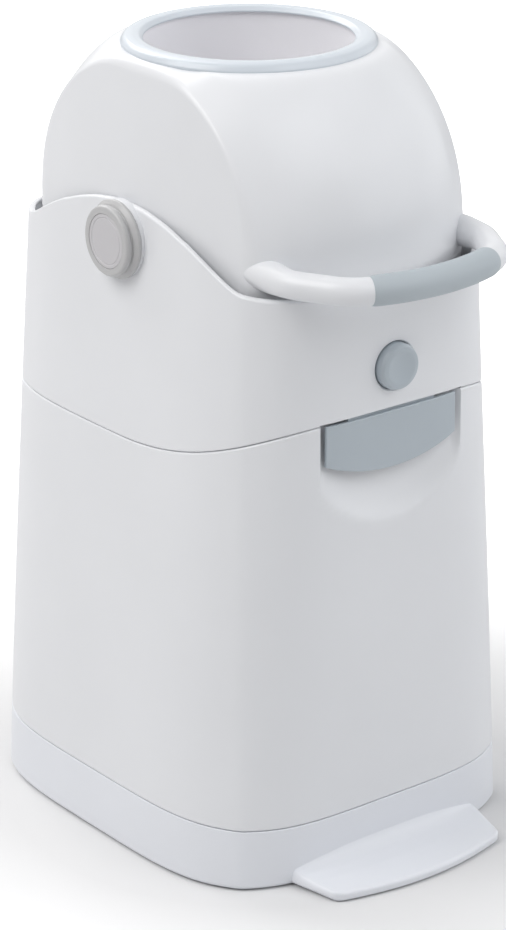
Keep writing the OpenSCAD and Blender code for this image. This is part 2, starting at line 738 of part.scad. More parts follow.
module drum_lower() color(white) placed()
    difference() {
        union() {
            difference() {
                intersection() {
                    drum_form(0);
                    slab(pivot_z - drum_flat, split_z - play / 2);
                }
                intersection() {
                    drum_form(-drum_wall);
                    slab(pivot_z - drum_flat + drum_wall, split_z + 1);
                }
            }
            drum_posts(pivot_z - drum_flat + 1, split_z - play / 2);
        }
        translate([0, 0, pivot_z - drum_flat - 1]) cylinder(r = drum_hole_r, h = drum_flat);
        for (a = [45:90:315]) rotate([0, 0, a]) translate([post_ring, 0, pivot_z - drum_flat - 1]) {
            cylinder(r = 3.6, h = drum_flat - drum_split - post_seat + 1);
            cylinder(r = 1.8, h = drum_flat);
        }
    }

module drum_screws() color(steel) placed()
    for (a = [45:90:315]) rotate([0, 0, a])
        translate([post_ring, 0, split_z - post_seat]) screw(1.5, post_screw_l, 3.2, 2.5);

module chute_tube() color(white) placed() translate([0, 0, pivot_z - drum_flat + 0.2])
    difference() {
        cylinder(r = chute_r + chute_wall, h = 2 * drum_flat - 0.4, $fn = 128);
        translate([0, 0, -1]) cylinder(r = chute_r, h = 2 * drum_flat + 2, $fn = 128);
    }

ring_skirt = 9;
module rim_ring() {
    crown = rim_h - 1;
    half = (rim_r - rim_in_r) / 2;
    round_r = (pow(half, 2) + pow(crown, 2)) / (2 * crown);
    skirt_in = chute_r + chute_wall + play;
    rotate_extrude($fn = 128) {
        translate([rim_in_r, 0]) square([2 * half, 1.4]);
        intersection() {
            translate([rim_in_r + half, rim_h - round_r]) circle(r = round_r, $fn = 128);
            translate([rim_in_r - 1, 0.7]) square([2 * half + 2, rim_h]);
        }
        translate([skirt_in, -ring_skirt]) square([drum_hole_r - play - skirt_in, ring_skirt + 0.7]);
    }
}
module rim_ring_top() color(grey) placed() translate([0, 0, pivot_z + drum_flat]) rim_ring();
module rim_ring_bottom() color(grey) placed()
    translate([0, 0, pivot_z - drum_flat]) mirror([0, 0, 1]) rim_ring();

module handle_grip() color(grey) placed()
    difference() {
        handle_bow(handle_r + grip_t, 0);
        handle_bow(handle_r + fit, 2);
    }

// Knobs on the pivot axis

module knob(side) color(knob_grey) placed() on_pivot(side) {
    face = knob_x + knob_t;
    rotate_extrude() difference() {
        union() {
            translate([0, boss_end + 3 + play]) square([shaft_r, knob_x - boss_end - 3]);
            polygon([[0, knob_x], [flange_r - 1, knob_x], [flange_r, knob_x + 1.4],
                [flange_r - 0.6, knob_x + 3.4], [flange_r - 3.4, knob_x + 5],
                [disc_r - 3, knob_x + 5.4], [disc_r - 3, face - 5.2],
                [disc_r - 0.6, face - 4.4], [disc_r, face - 2.6], [disc_r - 0.9, face - 0.9],
                [disc_r - 2.6, face], [0, face]]);
        }
        translate([-1, boss_end]) square([3.6, 80]);
        translate([-1, knob_x - 3]) square([8, 30]);
        translate([-1, face - 3]) square([cap_r + 1 + play, 5]);
    }
}
module knob_left() knob(-1);
module knob_right() knob(1);

module knob_cap(side) color(knob_grey) placed() on_pivot(side) {
    face = knob_x + knob_t;
    rotate_extrude() difference() {
        polygon([[0, face - 2.8], [cap_r, face - 2.8], [cap_r, face - 0.5], [cap_r - 0.8, face + 0.1],
            [0, face + 0.1]]);
        translate([cap_r - 3.2, face]) circle(r = 0.45, $fn = 24);
    }
}
module knob_cap_left() knob_cap(-1);
module knob_cap_right() knob_cap(1);

module knob_screws() color(steel) placed()
    for (side = [-1, 1]) on_pivot(side) {
        translate([0, 0, boss_end + 0.5]) cylinder(r = 2.4, h = knob_x - 3 - boss_end);
        translate([0, 0, knob_x - 3]) cylinder(r = 5.5, h = 3.5);
    }

// Piston

piston_z = pivot_z - drum_flat + play;
piston_r = chute_r - piston_play;
seal_z = 7;
module piston_cup() {
    half = piston_t / 2 - 0.05;
    rotate_extrude($fn = 128) difference() {
        polygon([[0, 0.8], [20, 0.8], [piston_r - 8, 0], [piston_r - 1, 0], [piston_r, 1], [piston_r, half],
            [piston_r - 3, half], [piston_r - 3, 13], [piston_r - 6, 9.5], [piston_r - 6, 4],
            [9, 4], [9, half], [0, half]]);
        translate([piston_r - 2.2, seal_z]) square([5, 4]);
        translate([-1, 5]) square([3.6, 30]);
    }
}
module piston_bottom() color(grey) placed() translate([0, 0, piston_z])
    difference() {
        piston_cup();
        translate([0, 0, -1]) cylinder(r = 2.6, h = 12);
        translate([0, 0, -1]) cylinder(r = 5, h = 4.6);
    }
module piston_top() color(grey) placed()
    translate([0, 0, piston_z + piston_t]) mirror([0, 0, 1]) piston_cup();
module piston_seals() color(black_rubber) placed()
    for (z = [seal_z, piston_t - seal_z - 4])
        translate([0, 0, piston_z + z]) rotate_extrude($fn = 128)
            translate([piston_r - 2.1, 0.05]) square([chute_r - piston_r + 2, 3.9]);
module piston_bolt() color(steel) placed() translate([0, 0, piston_z + 3.6])
    screw(2.5, piston_t - 10, 4.6, 2.6);

base();
feet();
base_screws();
bin_body();
catch_plate();
catch_screws();
hinge_pin();
hood_shell();
hood_collar();
collar_screws();
drum_seal();
lift_lip();
lip_screws();
bush_left();
bush_right();
latch_frame();
latch_screws();
latch_pin();
button_springs();
release_button();
latch_lever();
drum_upper();
drum_lower();
drum_screws();
chute_tube();
rim_ring_top();
rim_ring_bottom();
handle_grip();
knob_left();
knob_right();
knob_cap_left();
knob_cap_right();
knob_screws();
piston_top();
piston_bottom();
piston_seals();
piston_bolt();
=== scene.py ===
"""Looks of a nappy bin with a flip-over drum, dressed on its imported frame.

Lengths are in metres. The front, with the handle and the button, faces -Y.
"""

import json
import logging
import math
from dataclasses import dataclass, field
from enum import Enum
from typing import Callable, ClassVar, Iterable, Sequence

import bmesh
import bpy
from mathutils import Matrix, Vector


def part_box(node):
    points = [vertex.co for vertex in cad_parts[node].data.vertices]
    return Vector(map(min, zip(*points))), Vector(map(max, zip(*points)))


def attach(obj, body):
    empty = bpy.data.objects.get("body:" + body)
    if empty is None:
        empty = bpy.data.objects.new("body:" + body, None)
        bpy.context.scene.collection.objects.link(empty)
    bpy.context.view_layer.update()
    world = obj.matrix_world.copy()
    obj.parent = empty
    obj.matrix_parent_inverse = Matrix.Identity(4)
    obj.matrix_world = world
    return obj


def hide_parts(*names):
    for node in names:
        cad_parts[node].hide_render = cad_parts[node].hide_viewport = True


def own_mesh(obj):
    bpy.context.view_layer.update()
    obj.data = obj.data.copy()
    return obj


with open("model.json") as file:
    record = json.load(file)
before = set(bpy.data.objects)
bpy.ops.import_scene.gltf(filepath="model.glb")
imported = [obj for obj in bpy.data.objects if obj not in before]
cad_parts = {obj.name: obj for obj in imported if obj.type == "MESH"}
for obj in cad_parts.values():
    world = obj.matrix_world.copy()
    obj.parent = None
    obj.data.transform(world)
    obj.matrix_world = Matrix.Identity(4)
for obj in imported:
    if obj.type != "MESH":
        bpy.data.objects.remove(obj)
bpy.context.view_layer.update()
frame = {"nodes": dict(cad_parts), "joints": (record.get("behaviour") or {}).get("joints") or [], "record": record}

LOG = logging.getLogger("nappy_bin")
MM = 0.001
Corner = tuple[float, float, float]
Point2 = tuple[float, float]
Colour = tuple[float, float, float]


class Axis(Enum):
    """Direction that a turned piece's axis runs in."""

    X = "x"
    Y = "y"
    Z = "z"


class Side(Enum):
    """Which side of the bin a mirrored piece is on."""

    LEFT = -1
    RIGHT = 1


class Carve(Enum):
    """What one closed shape does to another."""

    CUT_AWAY = "DIFFERENCE"
    KEEP_SHARED = "INTERSECT"


@dataclass(frozen=True)
class Finish:
    """What a piece is made of, with colour, gloss and skin that vary by noise in its own space.

    Attributes:
        title: The material's name.
        slot: The frame's material slot.
        colour: Mean base colour, linear.
        roughness: Mean roughness.
        coat: Weight of the clear coat.
        grain: Strength of the fine bump.
        grain_scale: Scale of that bump, in waves per metre.
        mottle: Share by which the colour varies.
        metallic: 1 for metal and 0 for anything else.
    """

    title: str
    slot: str
    colour: Colour
    roughness: float
    coat: float = 0.0
    grain: float = 0.02
    grain_scale: float = 900.0
    mottle: float = 0.012
    metallic: float = 0.0

    coat_roughness: ClassVar[float] = 0.18
    mottle_scale: ClassVar[float] = 9.0
    mottle_ends: ClassVar[Point2] = (0.3, 0.7)
    gloss_scale: ClassVar[float] = 35.0
    gloss_spread: ClassVar[float] = 0.12
    skin_depth: ClassVar[float] = 0.4 * MM

    def material(self) -> bpy.types.Material:
        """Build the node material.

        Returns:
            The material, made once and shared by every piece that has this finish.
        """
        known = bpy.data.materials.get(self.title)
        if known:
            return known
        material = bpy.data.materials.new(self.title)
        material.use_nodes = True
        nodes, links = material.node_tree.nodes, material.node_tree.links
        shader = nodes["Principled BSDF"]
        shader.inputs["Metallic"].default_value = self.metallic
        shader.inputs["Coat Weight"].default_value = self.coat
        shader.inputs["Coat Roughness"].default_value = self.coat_roughness
        place = nodes.new("ShaderNodeTexCoord")

        def noise(scale: float, detail: float) -> bpy.types.NodeSocket:
            """Noise in the object's space, of a scale in waves per metre."""
            node = nodes.new("ShaderNodeTexNoise")
            node.inputs["Scale"].default_value = scale
            node.inputs["Detail"].default_value = detail
            links.new(place.outputs["Object"], node.inputs["Vector"])
            return node.outputs["Fac"]

        tint = nodes.new("ShaderNodeValToRGB")
        shades = (1 - self.mottle, 1 + self.mottle)
        for stop, end, shade in zip(tint.color_ramp.elements, self.mottle_ends, shades):
            stop.position = end
            stop.color = (*(min(c * shade, 1) for c in self.colour), 1)
        links.new(noise(self.mottle_scale, 3.0), tint.inputs["Fac"])
        links.new(tint.outputs["Color"], shader.inputs["Base Color"])

        gloss = nodes.new("ShaderNodeMapRange")
        gloss.inputs["To Min"].default_value = self.roughness * (1 - self.gloss_spread)
        gloss.inputs["To Max"].default_value = self.roughness * (1 + self.gloss_spread)
        links.new(noise(self.gloss_scale, 4.0), gloss.inputs["Value"])
        links.new(gloss.outputs["Result"], shader.inputs["Roughness"])

        skin = nodes.new("ShaderNodeBump")
        skin.inputs["Strength"].default_value = self.grain
        skin.inputs["Distance"].default_value = self.skin_depth
        links.new(noise(self.grain_scale, 2.0), skin.inputs["Height"])
        links.new(skin.outputs["Normal"], shader.inputs["Normal"])
        return material


@dataclass(frozen=True)
class MouldedPlastic(Finish):
    """Injection-moulded plastic with a faint orange-peel skin and slightly uneven gloss."""


@dataclass(frozen=True)
class SoftRubber(Finish):
    """Matt rubber with a fine pebbled skin."""

    roughness: float = 0.62
    grain: float = 0.06
    grain_scale: float = 1500.0
    mottle: float = 0.03


@dataclass(frozen=True)
class PlatedSteel(Finish):
    """Zinc-plated steel with fine rolling marks."""

    roughness: float = 0.34
    grain: float = 0.05
    grain_scale: float = 2200.0
    mottle: float = 0.05
    metallic: float = 1.0


SHELL_WHITE = MouldedPlastic("Housing white", "shell_white", (0.80, 0.812, 0.838), 0.35,
                             coat=0.14, grain=0.012)
BASE_WHITE = MouldedPlastic("Base white", "shell_white", (0.80, 0.82, 0.865), 0.38, coat=0.1)
INNER_WHITE = MouldedPlastic("Inner white", "inner_white", (0.70, 0.70, 0.725), 0.5, grain=0.03)
# Inner white made lighter for the chute wall: painted light, standing in for the light that falls into the chute's
# inside from above.
CHUTE_PAINTED_LIGHT_WHITE = MouldedPlastic("Chute white with painted light", "inner_white", (0.90, 0.895, 0.925), 0.45, grain=0.03)
TRIM_GREY = MouldedPlastic("Trim grey", "trim_grey", (0.455, 0.51, 0.555), 0.34,
                           coat=0.15, grain=0.015)
RING_GREY = MouldedPlastic("Rim grey", "trim_grey", (0.63, 0.68, 0.735), 0.30,
                           coat=0.25, grain=0.012)
GRIP_GREY = SoftRubber("Grip grey", "grip_grey", (0.45, 0.50, 0.535), 0.52, grain=0.03)
KNOB_GREY = MouldedPlastic("Knob grey", "knob_grey", (0.50, 0.50, 0.505), 0.36,
                           coat=0.2, grain=0.015)
CAP_GREY = MouldedPlastic("Knob cap grey", "knob_grey", (0.57, 0.56, 0.58), 0.42, coat=0.1)
DARK_RUBBER = SoftRubber("Dark rubber", "dark_rubber", (0.045, 0.045, 0.048), 0.7, grain=0.08)
PLATED = PlatedSteel("Plated steel", "steel", (0.62, 0.63, 0.64))


def filleted(corners: Sequence[Corner], closed: bool, segments: int = 5) -> list[Point2]:
    """Round the corners of an outline with arcs.

    Args:
        corners: (x, y, radius) of each corner, radius 0 for a sharp one.
        closed: Whether the last corner joins the first.
        segments: Segments of each arc.

    Returns:
        The outline's points.
    """
    share, straight, no_turn = 0.49, math.radians(89.9), 1e-3
    out: list[Point2] = []
    last = len(corners) - 1
    for i, (x, y, radius) in enumerate(corners):
        if radius <= 0 or (not closed and i in (0, last)):
            out.append((x, y))
            continue
        corner = Vector((x, y))
        to_before = Vector(corners[i - 1][:2]) - corner
        to_after = Vector(corners[(i + 1) % len(corners)][:2]) - corner
        a, b = to_before.normalized(), to_after.normalized()
        half = min(a.angle(b) / 2, straight)
        reach = min(radius / math.tan(half), share * to_before.length, share * to_after.length)
        centre = corner + (a + b).normalized() * (reach / math.cos(half))
        start, end = corner + a * reach - centre, corner + b * reach - centre
        turn = start.angle(end, 0.0)
        if turn < no_turn:
            out.append((x, y))
            continue
        for k in range(segments + 1):
            t = k / segments
            along = start * math.sin((1 - t) * turn) + end * math.sin(t * turn)
            p = centre + along / math.sin(turn)
            out.append((p.x, p.y))
    return out


def sleeve(inner: float, outer: float, low: float, high: float,
           low_round: float = 0.0, high_round: float = 0.0) -> list[Point2]:
    """Section of a tubular boss.

    Args:
        inner: Radius of the bore.
        outer: Radius of the boss.
        low: Where it starts along the axis.
        high: Where it ends.
        low_round: Radius of the outer edge at the start.
        high_round: Radius of the outer edge at the end.

    Returns:
        The section as (radius, distance along the axis) points.
    """
    return filleted([(inner, low, 0), (outer, low, low_round), (outer, high, high_round),
                     (inner, high, 0)], closed=True)


def smooth_step(t: float) -> float:
    """Rise from 0 to 1 with a level start and end, for t from 0 to 1."""
    return t * t * (3 - 2 * t)


def clamped(value: float) -> float:
    """The value, kept between 0 and 1."""
    return min(max(value, 0.0), 1.0)


def soft_max(a: float, b: float, blend: float) -> float:
    """The larger of two values, with the change from one to the other rounded over blend."""
    return 0.5 * (a + b + math.sqrt((a - b) ** 2 + blend ** 2))


class Shape:
    """Closed surfaces that are collected into one mesh.

    Attributes:
        merge: Distance under which points become one.
        sliver: Length under which an edge is dropped.
    """

    merge: float = 1e-6
    sliver: float = 1e-7

    def __init__(self) -> None:
        """Start with no surface."""
        self.points: list[Vector] = []
        self.faces: list[list[int]] = []

    def grid(self, rows: Sequence[Sequence[Vector]], wrap_rows: bool = False,
             wrap_points: bool = True) -> "Shape":
        """Skin a grid of points.

        Args:
            rows: Rows of equally many points.
            wrap_rows: Whether the last row joins the first.
            wrap_points: Whether each row is a closed loop.

        Returns:
            The shape.
        """
        base, count = len(self.points), len(rows[0])
        for row in rows:
            self.points.extend(row)
        for i in range(len(rows) if wrap_rows else len(rows) - 1):
            for j in range(count if wrap_points else count - 1):
                k, m = (i + 1) % len(rows), (j + 1) % count
                self.faces.append([base + i * count + j, base + i * count + m,
                                   base + k * count + m, base + k * count + j])
        return self

    def capped(self, loops: Sequence[Sequence[Vector]]) -> "Shape":
        """Skin closed loops one after the other and close both ends flat.

        Args:
            loops: Loops of equally many points.

        Returns:
            The shape.
        """
        base, sides = len(self.points), len(loops[0])
        self.grid(loops)
        end = base + (len(loops) - 1) * sides
        self.faces.append(list(range(base, base + sides)))
        self.faces.append(list(range(end + sides - 1, end - 1, -1)))
        return self

    def lathe(self, outline: Sequence[Point2], axis: Axis, centre: Vector, steps: int = 96,
              side: Side = Side.RIGHT) -> "Shape":
        """Turn an outline round an axis.

        Args:
            outline: (radius, distance along the axis) points; it is closed, or its ends lie on
                the axis.
            axis: The axis that it turns about.
            centre: Point on the axis that distances are counted from.
            steps: Points round the axis.
            side: LEFT counts distances along the axis backwards.

        Returns:
            The shape.
        """
        on_axis = outline[0][0] == 0 and outline[-1][0] == 0
        rows = []
        for i in range(steps):
            turn = math.tau * i / steps
            c, s = math.cos(turn), math.sin(turn)
            row = []
            for radius, along in outline:
                d, across, up = along * side.value, radius * c, radius * s
                offset = {Axis.X: (d, across, up), Axis.Y: (across, d, up),
                          Axis.Z: (across, up, d)}[axis]
                row.append(centre + Vector(offset))
            rows.append(row)
        return self.grid(rows, wrap_rows=True, wrap_points=not on_axis)

    def prism(self, outline: Sequence[Point2], x0: float, x1: float) -> "Shape":
        """Extrude an outline along X.

        Args:
            outline: The outline as (y, z) points.
            x0: Where it starts.
            x1: Where it ends.

        Returns:
            The shape.
        """
        base, count = len(self.points), len(outline)
        self.points.extend(Vector((x0, y, z)) for y, z in outline)
        self.points.extend(Vector((x1, y, z)) for y, z in outline)
        self.faces.append(list(range(base, base + count)))
        self.faces.append([base + 2 * count - 1 - i for i in range(count)])
        for i in range(count):
            k = (i + 1) % count
            self.faces.append([base + i, base + count + i, base + count + k, base + k])
        return self

    def block(self, low: Point2, high: Point2, x0: float, x1: float) -> "Shape":
        """Box between two (y, z) corners and from x0 to x1 along X."""
        return self.prism([low, (high[0], low[1]), high, (low[0], high[1])], x0, x1)

    def tube(self, path: Sequence[Vector], radii: Sequence[float], sides: int = 40) -> "Shape":
        """Sweep a round section along a path that lies at one height, with flat ends.

        Args:
            path: Points of the centre line.
            radii: Radius at each point.
            sides: Points round the section.

        Returns:
            The shape.
        """
        rows = []
        for i, p in enumerate(path):
            ahead = (path[min(i + 1, len(path) - 1)] - path[max(i - 1, 0)]).normalized()
            across = Vector((0, 0, 1)).cross(ahead).normalized()
            rows.append([p + radii[i] * (across * math.cos(math.tau * k / sides)
                                         + Vector((0, 0, math.sin(math.tau * k / sides))))
                         for k in range(sides)])
        return self.capped(rows)

    def mesh(self, name: str) -> bpy.types.Mesh:
        """Make the collected surfaces into a mesh with outward faces.

        Args:
            name: The mesh's name.

        Returns:
            The mesh, with coincident points merged.
        """
        mesh = bpy.data.meshes.new(name)
        mesh.from_pydata([tuple(p) for p in self.points], [], self.faces)
        work = bmesh.new()
        work.from_mesh(mesh)
        bmesh.ops.remove_doubles(work, verts=work.verts, dist=self.merge)
        bmesh.ops.dissolve_degenerate(work, edges=work.edges, dist=self.sliver)
        bmesh.ops.recalc_face_normals(work, faces=work.faces)
        work.to_mesh(mesh)
        work.free()
        return mesh


class Piece:
    """One visible piece, from its mesh to its body, node and finish."""

    def __init__(self, name: str, shape: Shape) -> None:
        """Make the object.

        Args:
            name: The piece's name.
            shape: The surfaces that it starts from.
        """
        self.object = bpy.data.objects.new(name, shape.mesh(name))
        bpy.context.scene.collection.objects.link(self.object)

    def apply(self) -> "Piece":
        """Turn the object's modifiers into mesh.

        Returns:
            The piece.
        """
        graph = bpy.context.evaluated_depsgraph_get()
        mesh = bpy.data.meshes.new_from_object(self.object.evaluated_get(graph))
        self.object.modifiers.clear()
        self.object.data = mesh
        return self

    def carve(self, other: Shape, how: Carve) -> "Piece":
        """Cut the piece with another closed shape.

        Args:
            other: The other shape.
            how: Whether its space is cut away or is all that is kept.

        Returns:
            The piece.
        """
        tool = Piece("tool", other)
        step = self.object.modifiers.new("carve", "BOOLEAN")
        step.operation = how.value
        step.solver = "EXACT"
        step.object = tool.object
        self.apply()
        bpy.data.objects.remove(tool.object)
        return self

    def bevel(self, width: float, segments: int = 3, angle: float = 35.0) -> "Piece":
        """Round the sharp edges.

        Args:
            width: Width of the rounding.
            segments: Segments across it.
            angle: Angle in degrees past which an edge is rounded.

        Returns:
            The piece.
        """
        step = self.object.modifiers.new("bevel", "BEVEL")
        step.width = width
        step.segments = segments
        step.limit_method = "ANGLE"
        step.angle_limit = math.radians(angle)
        step.harden_normals = False
        return self.apply()

    def add(self, other: Shape) -> "Piece":
        """Put another shape's surfaces into the piece's mesh as they are.

        Args:
            other: The other shape.

        Returns:
            The piece.
        """
        work = bmesh.new()
        work.from_mesh(self.object.data)
        work.from_mesh(other.mesh("added"))
        work.to_mesh(self.object.data)
        work.free()
        return self

    def dress(self, finish: Finish, body: str, nodes: Iterable[str],
              crease: float = 34.0) -> "Piece":
        """Give the piece its finish and shading, and hang it on the frame.

        Args:
            finish: What it is made of.
            body: The body that it moves with.
            nodes: The CAD nodes that it stands for.
            crease: Angle in degrees past which an edge stays sharp.

        Returns:
            The piece.
        """
        mesh = self.object.data
        mesh.materials.clear()
        mesh.materials.append(finish.material())
        mesh.shade_smooth()
        mesh.set_sharp_from_angle(angle=math.radians(crease))
        even = self.object.modifiers.new("even", "WEIGHTED_NORMAL")
        even.keep_sharp = True
        even.weight = 60
        self.apply()
        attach(self.object, body)
        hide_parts(*nodes)
        LOG.info("%s: %d faces, on %s", self.object.name, len(self.object.data.polygons), body)
        return self


def joint_place(name: str) -> Vector:
    """Where a joint of the frame lies."""
    return Vector(next(j["pos_m"] for j in frame["joints"] if j["name"] == name))


@dataclass
class Housing:
    """The plan outline that the base, body and hood share, and the curves that part them."""

    pivot: Vector = field(default_factory=lambda: joint_place("drum_flip"))
    hinge: Vector = field(default_factory=lambda: joint_place("hood_hinge"))
    half_width: float = 122.1 * MM
    half_depth: float = 174.7 * MM
    side_slope: float = math.tan(math.radians(4.23))
    front_slope: float = math.tan(math.radians(0.18))
    squareness: float = 4.12
    ridge_turn: float = math.radians(50)
    ridge_height: float = 1.2 * MM
    ridge_width: float = 7 * MM
    wall: float = 3 * MM
    base_top: float = 50 * MM
    seam_rise: float = 41 * MM
    seam_start: float = -5 * MM
    peak_rise: float = 28 * MM
    rim_drop: float = 15 * MM
    peak_reach: float = 137 * MM
    rim_blend: float = 7 * MM
    seam_gap: float = 0.25 * MM
    screw_level: float = 64 * MM
    screw_inset: float = 10.6 * MM
    screw_turns: tuple[float, ...] = (54, 126, 234, 306)
    columns: int = 480

    @property
    def seam_level(self) -> float:
        """Height of the seam along the sides, which is the hinge's."""
        return self.hinge.z

    @property
    def seam_front(self) -> float:
        """Height of the seam at the front."""
        return self.seam_level + self.seam_rise

    def depth_at(self, z: float) -> float:
        """Distance of the front face from the middle at a height."""
        return self.half_depth + self.front_slope * (self.pivot.z - z)

    def width_at(self, z: float) -> float:
        """Distance of the side faces from the middle at a height."""
        return self.half_width + self.side_slope * (self.pivot.z - z)

    def spot(self, z: float, inset: float, phi: float) -> Vector:
        """Point of the plan outline.

        Args:
            z: Height.
            inset: How far the outline is drawn in.
            phi: Angle round the outline, from +X.

        Returns:
            The point.
        """
        a, b = self.width_at(z) - inset, self.depth_at(z) - inset
        c, s = math.cos(phi), math.sin(phi)
        n = self.squareness
        r = (abs(c / a) ** n + abs(s / b) ** n) ** (-1 / n)
        off_ridge = (math.atan2(abs(s), abs(c)) - self.ridge_turn) * r / self.ridge_width
        r += self.ridge_height * math.exp(-0.5 * off_ridge ** 2)
        return Vector((r * c, self.pivot.y + r * s, z))

    def front_at(self, x: float, z: float, inset: float = 0.0) -> float:
        """Y of the front face at a place off mid width."""
        a, b = self.width_at(z) - inset, self.depth_at(z) - inset
        return self.pivot.y - b * (1 - abs(x / a) ** self.squareness) ** (1 / self.squareness)

    def seam(self, y: float) -> float:
        """Height of the seam, which runs level and then in an arc up to the front.

        Args:
            y: Distance from the middle, negative ahead of it.

        Returns:
            The height.
        """
        run = self.depth_at(self.seam_level) + self.seam_start
        radius = (run ** 2 + self.seam_rise ** 2) / (2 * self.seam_rise)
        ahead = min(max(self.seam_start - y, 0.0), run)
        return self.seam_level + radius - math.sqrt(radius ** 2 - ahead ** 2)

    def rim(self, y: float) -> float:
        """Height of the hood's rim, which runs level with a round peak at the pivot.

        Args:
            y: Distance from the middle.

        Returns:
            The height.
        """
        low, high = self.pivot.z - self.rim_drop, self.pivot.z + self.peak_rise
        fall = high - low
        radius = (self.peak_reach ** 2 + fall ** 2) / (2 * fall)
        arc = high - radius + math.sqrt(max(radius ** 2 - y ** 2, 0.0))
        near_peak = abs(y) <= 0.6 * self.peak_reach
        return arc if near_peak else soft_max(low, arc, self.rim_blend)

    def wall_round(self, loop: Callable[[float], list[Point2]],
                   push: Callable[[Vector], float] | None = None) -> Shape:
        """Closed wall that runs round the plan.

        Args:
            loop: Gives the wall's section as (inset, z) points for a distance y from the middle.
            push: Gives how far a point of the wall is pushed in along +Y.

        Returns:
            The wall's surface.
        """
        rows = []
        for i in range(self.columns):
            phi = math.tau * i / self.columns
            y = self.spot(self.seam_level, 0, phi).y - self.pivot.y
            row = [self.spot(z, inset, phi) for inset, z in loop(y)]
            if push:
                row = [p + Vector((0, push(p), 0)) for p in row]
            rows.append(row)
        return Shape().grid(rows, wrap_rows=True)

    def slab(self, z0: float, z1: float, inset: float, steps: int = 160) -> Shape:
        """Solid plate of the plan outline between two heights."""
        return Shape().capped([[self.spot(z, inset, math.tau * i / steps) for i in range(steps)]
                               for z in (z0, z1)])

    def corners(self, z: float, inset: float) -> list[Vector]:
        """The four places near the corners where screws go.

        Args:
            z: Height.
            inset: How far they are drawn in, square to the outline.

        Returns:
            The places.
        """
        a, b, n = self.width_at(z), self.depth_at(z), self.squareness - 1
        places = []
        for degrees in self.screw_turns:
            p = self.spot(z, 0, math.radians(degrees))
            y = p.y - self.pivot.y
            square = Vector((math.copysign(abs(p.x / a) ** n / a, p.x),
                             math.copysign(abs(y / b) ** n / b, y), 0))
            places.append(p - inset * square.normalized())
        return places


